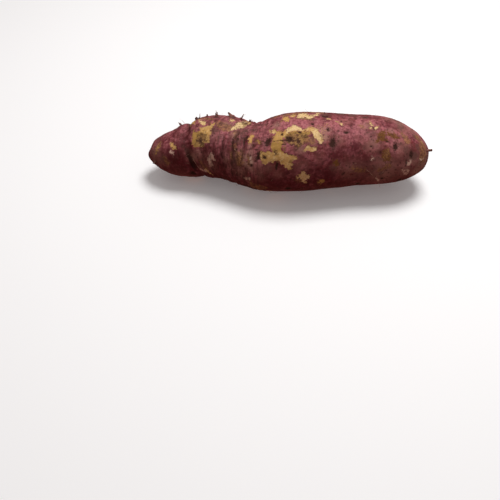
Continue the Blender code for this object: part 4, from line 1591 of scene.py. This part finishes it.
# %% Lay the dark lines in wrinkles, the dirt and painted shade in folds, and the eyes
def lay_dirt_and_shade(tree, colour):
    """Dark lines in fine wrinkles, dirt and painted shade in folds, and dark eyes. Gives
    the masks of wrinkles and pits too.
    """
    tear = NOISE["tear"]
    squeezed = noise_at(tree, stretched(tree, PLACE, 1.0, 0.13), 0.5, 3.0, 0.5)
    away = sum_of(tree, "ABSOLUTE", sum_of(tree, "SUBTRACT", squeezed, 0.5))
    wrinkles = share_of(tree, fade(tree, away, 0.08, 0.0), read_note(tree, "neck"))
    unscraped = times_plus(tree, flesh_mask, -0.5, 0.7)
    undusted = fade(tree, TINT["dust_and_painted_light"], 1.3, 0.3)
    wrinkles = share_of(tree, wrinkles, share_of(tree, undusted, unscraped))
    colour = coat(tree, colour, SOOT, wrinkles, 0.7)
    # Dirt and painted shade: each fold is darkened by its depth.
    groove = times_plus(tree, tear, 0.8, read_note(tree, "fold"))
    colour = coat(tree, colour, DEEP, fade(tree, groove, 0.16, 0.50), unscraped)
    colour = coat(tree, colour, SOOT, fade(tree, groove, 0.45, 0.95), unscraped)
    eye = times_plus(tree, tear, 1.8, read_note(tree, "eye"))
    colour = coat(tree, colour, UMBER, fade(tree, eye, 0.10, 0.45), 0.65)
    pits = fade(tree, eye, 0.40, 0.64)
    return coat(tree, colour, SOOT, pits, 0.9), wrinkles, pits


dirty_and_shaded, wrinkle_mask, pit_mask = lay_dirt_and_shade(TREE, scarred)
TREE.links.new(dirty_and_shaded, SHADER.inputs["Base Color"])
print("nodes with the dirt:", len(TREE.nodes))

# %% [markdown]
# ## Sheen and grain of the skin
#
# What is dry is rough: scrapes, scars, pits, soil and stains. What is skin keeps a faint
# sheen, uneven along its streaks. The bump is fine grain, raised in scars and lowered in
# scrapes and wrinkles. All relief that is deeper is already in the mesh, where it also
# shows in the outline and in the shadows.

# %% Finish the skin
SKIN_BUMP = 0.3
SKIN_BUMP_STRENGTH = 0.8
SKIN_ROUGHNESS = 0.52
ROUGHER_IN_STREAKS = 0.2
ROUGHER_IN_MARKS = 0.22
LOWER_IN_MARKS = -0.5


def skin_roughness(tree):
    """Rough where any of the dry marks lies, and streaky in between."""
    dull = fade(tree, TINT["dark"], 0.9, 1.5)
    for mask in (flesh_mask, scar_mask, pit_mask, soil_layer.outputs["Mask"], stain_mask):
        dull = sum_of(tree, "MAXIMUM", dull, mask)
    sheen = times_plus(tree, NOISE["streaks"], ROUGHER_IN_STREAKS, SKIN_ROUGHNESS)
    return times_plus(tree, dull, ROUGHER_IN_MARKS, sheen)


def skin_grain(tree):
    """The height of the fine grain, with its scars, scrapes and wrinkles."""
    marks = times_plus(tree, flesh_mask, LOWER_IN_MARKS, scar_grain)
    marks = times_plus(tree, wrinkle_mask, LOWER_IN_MARKS, marks)
    grain = share_of(tree, NOISE["mottle"], 0.6)
    grain = times_plus(tree, NOISE["streaks"], 0.5, grain)
    return sum_of(tree, "ADD", grain, marks)


def add_bump(tree, shader, height, depth, strength=1.0):
    """Turns a height into bump on the shader; the depth is in millimetres."""
    inputs = {"Height": height, "Distance": depth * MM, "Strength": strength}
    bump = add_node(tree, "ShaderNodeBump", inputs)
    tree.links.new(bump.outputs["Normal"], shader.inputs["Normal"])


TREE.links.new(skin_roughness(TREE), SHADER.inputs["Roughness"])
add_bump(TREE, SHADER, skin_grain(TREE), SKIN_BUMP, SKIN_BUMP_STRENGTH)
skin.data.materials.clear()
skin.data.materials.append(SKIN_PAINT)
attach(skin, "root")
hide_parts(NODE)
print("the skin's material has", len(TREE.nodes), "nodes")

# %% [markdown]
# ## Tubes for rootlets and hairs
#
# Feeder roots snap off when a sweet potato is dug up, and leave stubs: short, dark, a
# little bent, with a torn end. A curve object with a bevel would do, but its sections are
# all alike. Here each stub is a tube built ring by ring, so that every ring can be a bit
# thicker or thinner than the last. All stubs go into one mesh, and all hairs into another.

# %% Make a tube builder
def tube_into(shape, points, radii, sides):
    """Adds a closed tube through the points to the bmesh, with a radius for each point."""
    direction = (points[-1] - points[0]).normalized()
    side = direction.orthogonal().normalized()
    turns = [2 * math.pi * k / sides for k in range(sides)]
    rings = []
    for index, (point, radius) in enumerate(zip(points, radii)):
        before, after = points[max(index - 1, 0)], points[min(index + 1, len(points) - 1)]
        direction = (after - before).normalized()
        side = (side - direction * side.dot(direction)).normalized()
        other = direction.cross(side)
        ring = [point + (side * math.cos(t) + other * math.sin(t)) * radius for t in turns]
        rings.append([shape.verts.new(place * MM) for place in ring])
    for low, high in zip(rings, rings[1:]):
        for k in range(sides):
            shape.faces.new((low[k - 1], low[k], high[k], high[k - 1]))
    shape.faces.new(rings[0][::-1])
    shape.faces.new(rings[-1])


def object_from(shape, name, material):
    """The bmesh as a finished piece that rides on the root and stands for its node."""
    bmesh.ops.recalc_face_normals(shape, faces=shape.faces)
    mesh = bpy.data.meshes.new(name)
    shape.to_mesh(mesh)
    shape.free()
    mesh.materials.append(material)
    mesh.shade_smooth()
    piece = bpy.data.objects.new(name, mesh)
    bpy.context.scene.collection.objects.link(piece)
    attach(piece, "root")
    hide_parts(NODE)
    return piece


def any_direction(draw):
    """Three random numbers from -1 to 1, as a vector."""
    return Vector([draw.uniform(-1.0, 1.0) for _ in range(3)])


print("the tube builder and its two helpers are ready")

# %% [markdown]
# ## Bark and dry hair
#
# The bark of a broken rootlet is the same cork as in a scar, with more soil in its grain,
# and a dry hair is paler cork again. So one function makes both: it places the cork group
# and the soil group one behind the other, with the paints it is given. The tubes don't
# follow the rings, so the noise is looked up by plain place.

# %% Make the materials of stubs and hairs
ROOTLET_SPECULAR = 0.25
ROOTLET_SOIL = 0.6
ROOTLET_PATCH = 5.0
ROOTLET_GRAIN = 1.0
ROOTLET_BUMP = 0.2
ROOTLET_ROUGHNESS = 0.7
ROUGHER_IN_SOIL = 0.2


def make_rootlet_material(name, light, dark, soil_colour):
    """Cork in two shades with soil in it, dry and rough."""
    material, tree, shader = start_material(name, ROOTLET_SPECULAR)
    metres = add_node(tree, "ShaderNodeTexCoord").outputs["Object"]
    place = stretched(tree, metres, 1 / MM, 1 / MM)
    cork = cork_node(tree, place, light, dark, ROOTLET_GRAIN)
    soil = soil_node(tree, place, cork.outputs["Colour"], ROOTLET_SOIL, ROOTLET_PATCH, soil_colour)
    tree.links.new(soil.outputs["Colour"], shader.inputs["Base Color"])
    roughness = times_plus(tree, soil.outputs["Mask"], ROUGHER_IN_SOIL, ROOTLET_ROUGHNESS)
    tree.links.new(roughness, shader.inputs["Roughness"])
    add_bump(tree, shader, cork.outputs["Height"], ROOTLET_BUMP)
    return material


BARK_OF_ROOTLETS = make_rootlet_material(
    "bark_of_the_rootlets",
    light=paint(142, 92, 80),
    dark=paint(70, 40, 34),
    soil_colour=paint(104, 76, 64),
)
DRY_HAIR = make_rootlet_material(
    "dry_root_hair",
    light=paint(178, 140, 118),
    dark=paint(112, 78, 62),
    soil_colour=paint(130, 100, 82),
)
print("the rootlets' material has", len(BARK_OF_ROOTLETS.node_tree.nodes), "nodes")

# %% [markdown]
# ## Broken rootlets
#
# Each stub in view is one line of a list: where its foot shows in the picture, how far
# its tip lies from the foot to the right and up, in millimetres, and how thick it is at
# the foot and at the tip. A stub starts under the skin, leaves it straight outward and
# then bends over to its tip, along a curve that three points guide: its start, an elbow
# above the foot, and the tip. Two of the thickest ends are torn into fibres. The back of
# the neck isn't in the picture, but rootlets don't stop there, so a seeded draw grows
# some more.

# %% List the stubs in view
Stub = namedtuple("Stub", "column row right up thick tip")
STUBS = [
    Stub(181.6, 125.8, -1.9, 2.2, 1.2, 1.8),
    Stub(196.9, 119.2, -0.9, 1.0, 2.9, 2.2),
    Stub(199, 119, 0.2, 1.4, 1.8, 0.9),
    Stub(199.8, 118.5, 0.2, 3.9, 0.9, 0.3),
    Stub(207, 116.2, 0.1, 1.5, 1.9, 0.9),
    Stub(216.8, 115.9, -0.3, 1.6, 3.0, 1.9),
    Stub(216.5, 114.0, -0.5, 3.0, 1.0, 0.25),
    Stub(217.2, 114.0, 0.6, 1.8, 0.8, 0.25),
    Stub(232.0, 117.2, -3.0, 3.6, 5.6, 1.0),
    Stub(240.6, 119.9, 2.6, 4.4, 1.7, 0.5),
    Stub(249.5, 121.5, 0.4, 1.5, 1.8, 0.8),
    Stub(250, 120.9, 1.7, 0.8, 0.6, 0.25),
    Stub(324.6, 114.2, 0.0, 1.7, 1.1, 0.4),
    Stub(156, 161.5, -1.6, -1.2, 2.4, 1.2),
    Stub(155, 160, -1.2, -0.6, 1.6, 0.8),
    Stub(426.4, 150.2, 4.1, 0.0, 2.0, 1.8),
]
print("stubs in view:", len(STUBS))

# %% Grow the stubs
STUB_SEED = 17
STUB_STATIONS = 9
STUB_SIDES = 10
SUNK = 1.5
ELBOW = 0.35
BEND = 0.10
TAPER = 0.7
FOOT_FLARE = 0.45
FLARE_SHARPNESS = 4
KNOBBLES = (0.84, 1.14)
TORN_THICKNESS = 1.6
FIBRES = 3
FIBRE_SIDES = 5
FIBRE_SPREAD = 0.5
FIBRE_ROOT = 0.4
FIBRE_LENGTHS = (0.8, 1.8)
FIBRE_FOOT = 0.22
FIBRE_WAIST = 0.14
FIBRE_TIP = 0.06


def knobbly_limb(foot, tip, thick, tip_thick, draw):
    """Points and radii of a stub from under the skin to its torn end."""
    normal = SURFACE.find_nearest(foot * MM)[1]
    reach = tip - foot
    start = foot - normal * SUNK
    elbow = foot + normal * reach.length * ELBOW + reach * (0.5 - ELBOW)
    bend = any_direction(draw) * reach.length * BEND
    points, radii = [], []
    for step in range(STUB_STATIONS):
        share = step / (STUB_STATIONS - 1)
        arc = start * (1 - share) ** 2 + elbow * 2 * share * (1 - share) + tip * share**2
        points.append(arc + bend * math.sin(math.pi * share))
        width = thick + (tip_thick - thick) * share**TAPER
        flare = 1.0 + FOOT_FLARE * (1.0 - share) ** FLARE_SHARPNESS
        radii.append(width * 0.5 * flare * draw.uniform(*KNOBBLES))
    return points, radii


def fibres_into(shape, foot, tip, thick, draw):
    """Thin torn fibres that stand out of the broken end of a stub."""
    axis = (tip - foot).normalized()
    for _ in range(FIBRES):
        spread = any_direction(draw) * FIBRE_SPREAD
        start = tip + spread * thick * 0.5 - axis * FIBRE_ROOT
        end = start + (axis + spread) * draw.uniform(*FIBRE_LENGTHS)
        radii = [thick * FIBRE_FOOT, thick * FIBRE_WAIST, FIBRE_TIP]
        tube_into(shape, [start, (start + end) / 2, end], radii, FIBRE_SIDES)


def grow_seen_stubs(shape, draw):
    """Grows the stubs of the list into the bmesh."""
    for stub in STUBS:
        foot = seen_at(stub.column, stub.row)
        tip = foot + RIGHTWARD * stub.right + UPWARD * stub.up
        tube_into(shape, *knobbly_limb(foot, tip, stub.thick, stub.tip, draw), STUB_SIDES)
        if stub.tip > TORN_THICKNESS and stub.up > stub.tip / 2:
            fibres_into(shape, foot, tip, stub.tip, draw)


stub_shape = bmesh.new()
stub_draw = random.Random(STUB_SEED)
grow_seen_stubs(stub_shape, stub_draw)
print("the stubs in view have", len(stub_shape.faces), "faces")


# %% Grow the stubs behind
BACK_SEED = 7
BACK_STUBS = 9
BACK_ALONG = (-88.0, -24.0)
BACK_SPACING = (0.2, 0.8)
BACK_ANGLES = (232.0, 286.0)
BACK_THICKNESSES = (1.2, 1.9)
BACK_LENGTHS = (2.2, 4.2)
BACK_TIP = 0.4
LEAN_ALONG = (-0.6, 0.6)
LEAN_BACK = (-0.3, 0.3)
LEAN_UP = 0.2


def grow_back_stubs(shape, draw):
    """Grows stubs in a loose row along the back of the neck."""
    back = random.Random(BACK_SEED)
    for index in range(BACK_STUBS):
        share = (index + back.uniform(*BACK_SPACING)) / BACK_STUBS
        along = BACK_ALONG[0] + share * (BACK_ALONG[1] - BACK_ALONG[0])
        foot, outward = grown_at(along, back.uniform(*BACK_ANGLES))
        thick, length = back.uniform(*BACK_THICKNESSES), back.uniform(*BACK_LENGTHS)
        lean = Vector((back.uniform(*LEAN_ALONG), back.uniform(*LEAN_BACK), LEAN_UP))
        tip = foot + (outward + lean) * length
        tube_into(shape, *knobbly_limb(foot, tip, thick, thick * BACK_TIP, draw), STUB_SIDES)


grow_back_stubs(stub_shape, stub_draw)
stubs = object_from(stub_shape, "rootlet_stubs", BARK_OF_ROOTLETS)
print("all stubs have", len(stubs.data.polygons), "faces")

# %% [markdown]
# ## Root hairs
#
# A few thin hairs are left where soil held on, most of them on the neck. Blender has hair
# curves and particles for fur, but they don't survive an export, and a root needs only a
# few dozen. So they are fine three-sided tubes, thrown by a seeded draw and lying close to
# the skin, with a few listed where they show.

# %% Grow the hairs
Hair = namedtuple("Hair", "column row right up thick")
HAIRS = [
    Hair(187, 125, -6.4, 5.2, 0.22),
    Hair(186.5, 125, -4.0, 3.6, 0.2),
    Hair(241, 119.5, 3.4, 4.6, 0.26),
    Hair(375, 176.5, 5.4, -7.0, 0.42),
    Hair(378, 175, 8.0, 4.6, 0.40),
    Hair(366, 169.5, 7.4, -4.8, 0.34),
    Hair(234.5, 149, 1.2, -2.0, 0.5),
    Hair(246, 178, 3.2, -1.0, 0.4),
    Hair(251, 121.5, 2.0, 1.2, 0.24),
]
HAIR_SEED = 5
HAIR_STATIONS = 6
HAIR_SIDES = 3
HAIR_SWAY = 0.25
HAIR_ARCH = 0.22
HAIR_TAPER = 0.7
LOOSE_HAIRS = 110
LOOSE_ALONG = (-102.0, 100.0, -50.0)
LOOSE_LENGTHS = (1.5, 5.0)
LOOSE_THICKNESSES = (0.12, 0.22)
LOOSE_LIFTS = (0.05, 0.5)
LOWEST_FOOT = 4.0


def hair_into(shape, foot, direction, normal, length, thick, draw):
    """A thin tube that leaves the skin and arches back down towards it."""
    sideways = direction.cross(normal).normalized() * draw.uniform(-HAIR_SWAY, HAIR_SWAY)
    points, radii = [], []
    for step in range(HAIR_STATIONS):
        share = step / (HAIR_STATIONS - 1)
        arch = normal * math.sin(math.pi * share) * HAIR_ARCH
        points.append(foot + (direction * share + sideways * share**2 + arch) * length)
        radii.append(thick * 0.5 * (1.0 - HAIR_TAPER * share))
    tube_into(shape, points, radii, HAIR_SIDES)


def grow_seen_hairs(shape, draw):
    """Grows the hairs of the list. They arch towards the eye, where they show."""
    for hair in HAIRS:
        foot = seen_at(hair.column, hair.row)
        reach = RIGHTWARD * hair.right + UPWARD * hair.up
        towards_eye = (EYE - foot).normalized()
        hair_into(shape, foot, reach.normalized(), towards_eye, reach.length, hair.thick, draw)


def grow_loose_hairs(shape, draw):
    """Throws short hairs over the whole root, most on the neck, and none near the floor."""
    for _ in range(LOOSE_HAIRS):
        along = draw.triangular(*LOOSE_ALONG)
        foot, outward = grown_at(along, draw.uniform(0.0, 360.0))
        if foot.z < LOWEST_FOOT:
            continue
        tangent = any_direction(draw)
        tangent = (tangent - outward * tangent.dot(outward)).normalized()
        direction = (tangent + outward * draw.uniform(*LOOSE_LIFTS)).normalized()
        length, thick = draw.uniform(*LOOSE_LENGTHS), draw.uniform(*LOOSE_THICKNESSES)
        hair_into(shape, foot, direction, outward, length, thick, draw)


hair_shape = bmesh.new()
hair_draw = random.Random(HAIR_SEED)
grow_seen_hairs(hair_shape, hair_draw)
grow_loose_hairs(hair_shape, hair_draw)
hairs = object_from(hair_shape, "root_hairs", DRY_HAIR)
print("the hairs have", len(hairs.data.polygons), "faces")

# %% [markdown]
# ## Floor and light
#
# The root lies on a plain pale floor under one broad lamp above it, a little behind and
# to the right: the top is bright, the front falls off, the belly is dark. A white floor
# would throw that light back up and wash the belly out, so the floor is left out of the
# bounced light, and a dim sky fills the shade instead, grey from above and a warm brown
# from below. The camera sees that sky as white, and the floor has a faint glow, so that
# its far edge melts into it.

# %% Lay the floor
FLOOR_HALF = 2.0
FLOOR_GAP = 0.0002
FLOOR_PAINT = (0.93, 0.93, 0.93, 1.0)
FLOOR_ROUGHNESS = 0.9
FLOOR_GLOW = 0.12
SEEN_WHITE = (1.0, 1.0, 1.0, 1.0)


def lay_floor():
    """A large plain sheet just under the root."""
    shape = bmesh.new()
    bmesh.ops.create_grid(shape, x_segments=1, y_segments=1, size=FLOOR_HALF)
    mesh = bpy.data.meshes.new("floor")
    shape.to_mesh(mesh)
    shape.free()
    paper = bpy.data.materials.new("pale_paper")
    paper.use_nodes = True
    shader = paper.node_tree.nodes["Principled BSDF"]
    shader.inputs["Base Color"].default_value = FLOOR_PAINT
    shader.inputs["Roughness"].default_value = FLOOR_ROUGHNESS
    shader.inputs["Emission Color"].default_value = SEEN_WHITE
    shader.inputs["Emission Strength"].default_value = FLOOR_GLOW
    mesh.materials.append(paper)
    floor = bpy.data.objects.new("floor", mesh)
    floor.location.z = -FLOOR_GAP
    floor.visible_diffuse = False
    floor.visible_glossy = False
    bpy.context.scene.collection.objects.link(floor)


lay_floor()
print("the floor is", 2 * FLOOR_HALF, "m wide")


# %% Hang the lamp and make the sky
LAMP_DISTANCE = 0.92
LAMP_BACK = 12.0
LAMP_RIGHT = 10.0
LAMP_SIZE = 0.42
LAMP_POWER = 6.5
SKY_TOP = (0.34, 0.34, 0.34, 1.0)
SKY_BOTTOM = (0.20, 0.08, 0.06, 1.0)
SKY_RISE = (-0.5, 1.0)


def hang_lamp():
    """A round lamp above the root, a little behind it and to the right, that looks at it."""
    light = bpy.data.lights.new("lamp", "AREA")
    light.shape = "DISK"
    light.size = LAMP_SIZE
    light.energy = LAMP_POWER
    lamp = bpy.data.objects.new("lamp", light)
    right = math.tan(math.radians(LAMP_RIGHT))
    back = math.tan(math.radians(LAMP_BACK))
    place = Vector((right, back, 1.0)).normalized() * LAMP_DISTANCE
    lamp.location = place
    lamp.rotation_euler = place.to_track_quat("Z", "Y").to_euler()
    bpy.context.scene.collection.objects.link(lamp)


def make_sky():
    """White to the camera, and for light grey above and brown below."""
    world = bpy.data.worlds.new("studio")
    world.use_nodes = True
    bpy.context.scene.world = world
    tree = world.node_tree
    direction = add_node(tree, "ShaderNodeTexCoord").outputs["Generated"]
    height = add_node(tree, "ShaderNodeSeparateXYZ", {0: direction}).outputs["Z"]
    inputs = {"Value": height, "From Min": SKY_RISE[0], "From Max": SKY_RISE[1]}
    share = add_node(tree, "ShaderNodeMapRange", inputs)
    glow = blend_colours(tree, share.outputs["Result"], SKY_BOTTOM, SKY_TOP)
    seen = add_node(tree, "ShaderNodeLightPath").outputs["Is Camera Ray"]
    colour = blend_colours(tree, seen, glow, SEEN_WHITE)
    tree.links.new(colour, tree.nodes["Background"].inputs["Color"])


hang_lamp()
make_sky()
bpy.context.scene.view_settings.view_transform = "Standard"
print("a lamp of", LAMP_POWER, "watts hangs", LAMP_DISTANCE, "m from the root")
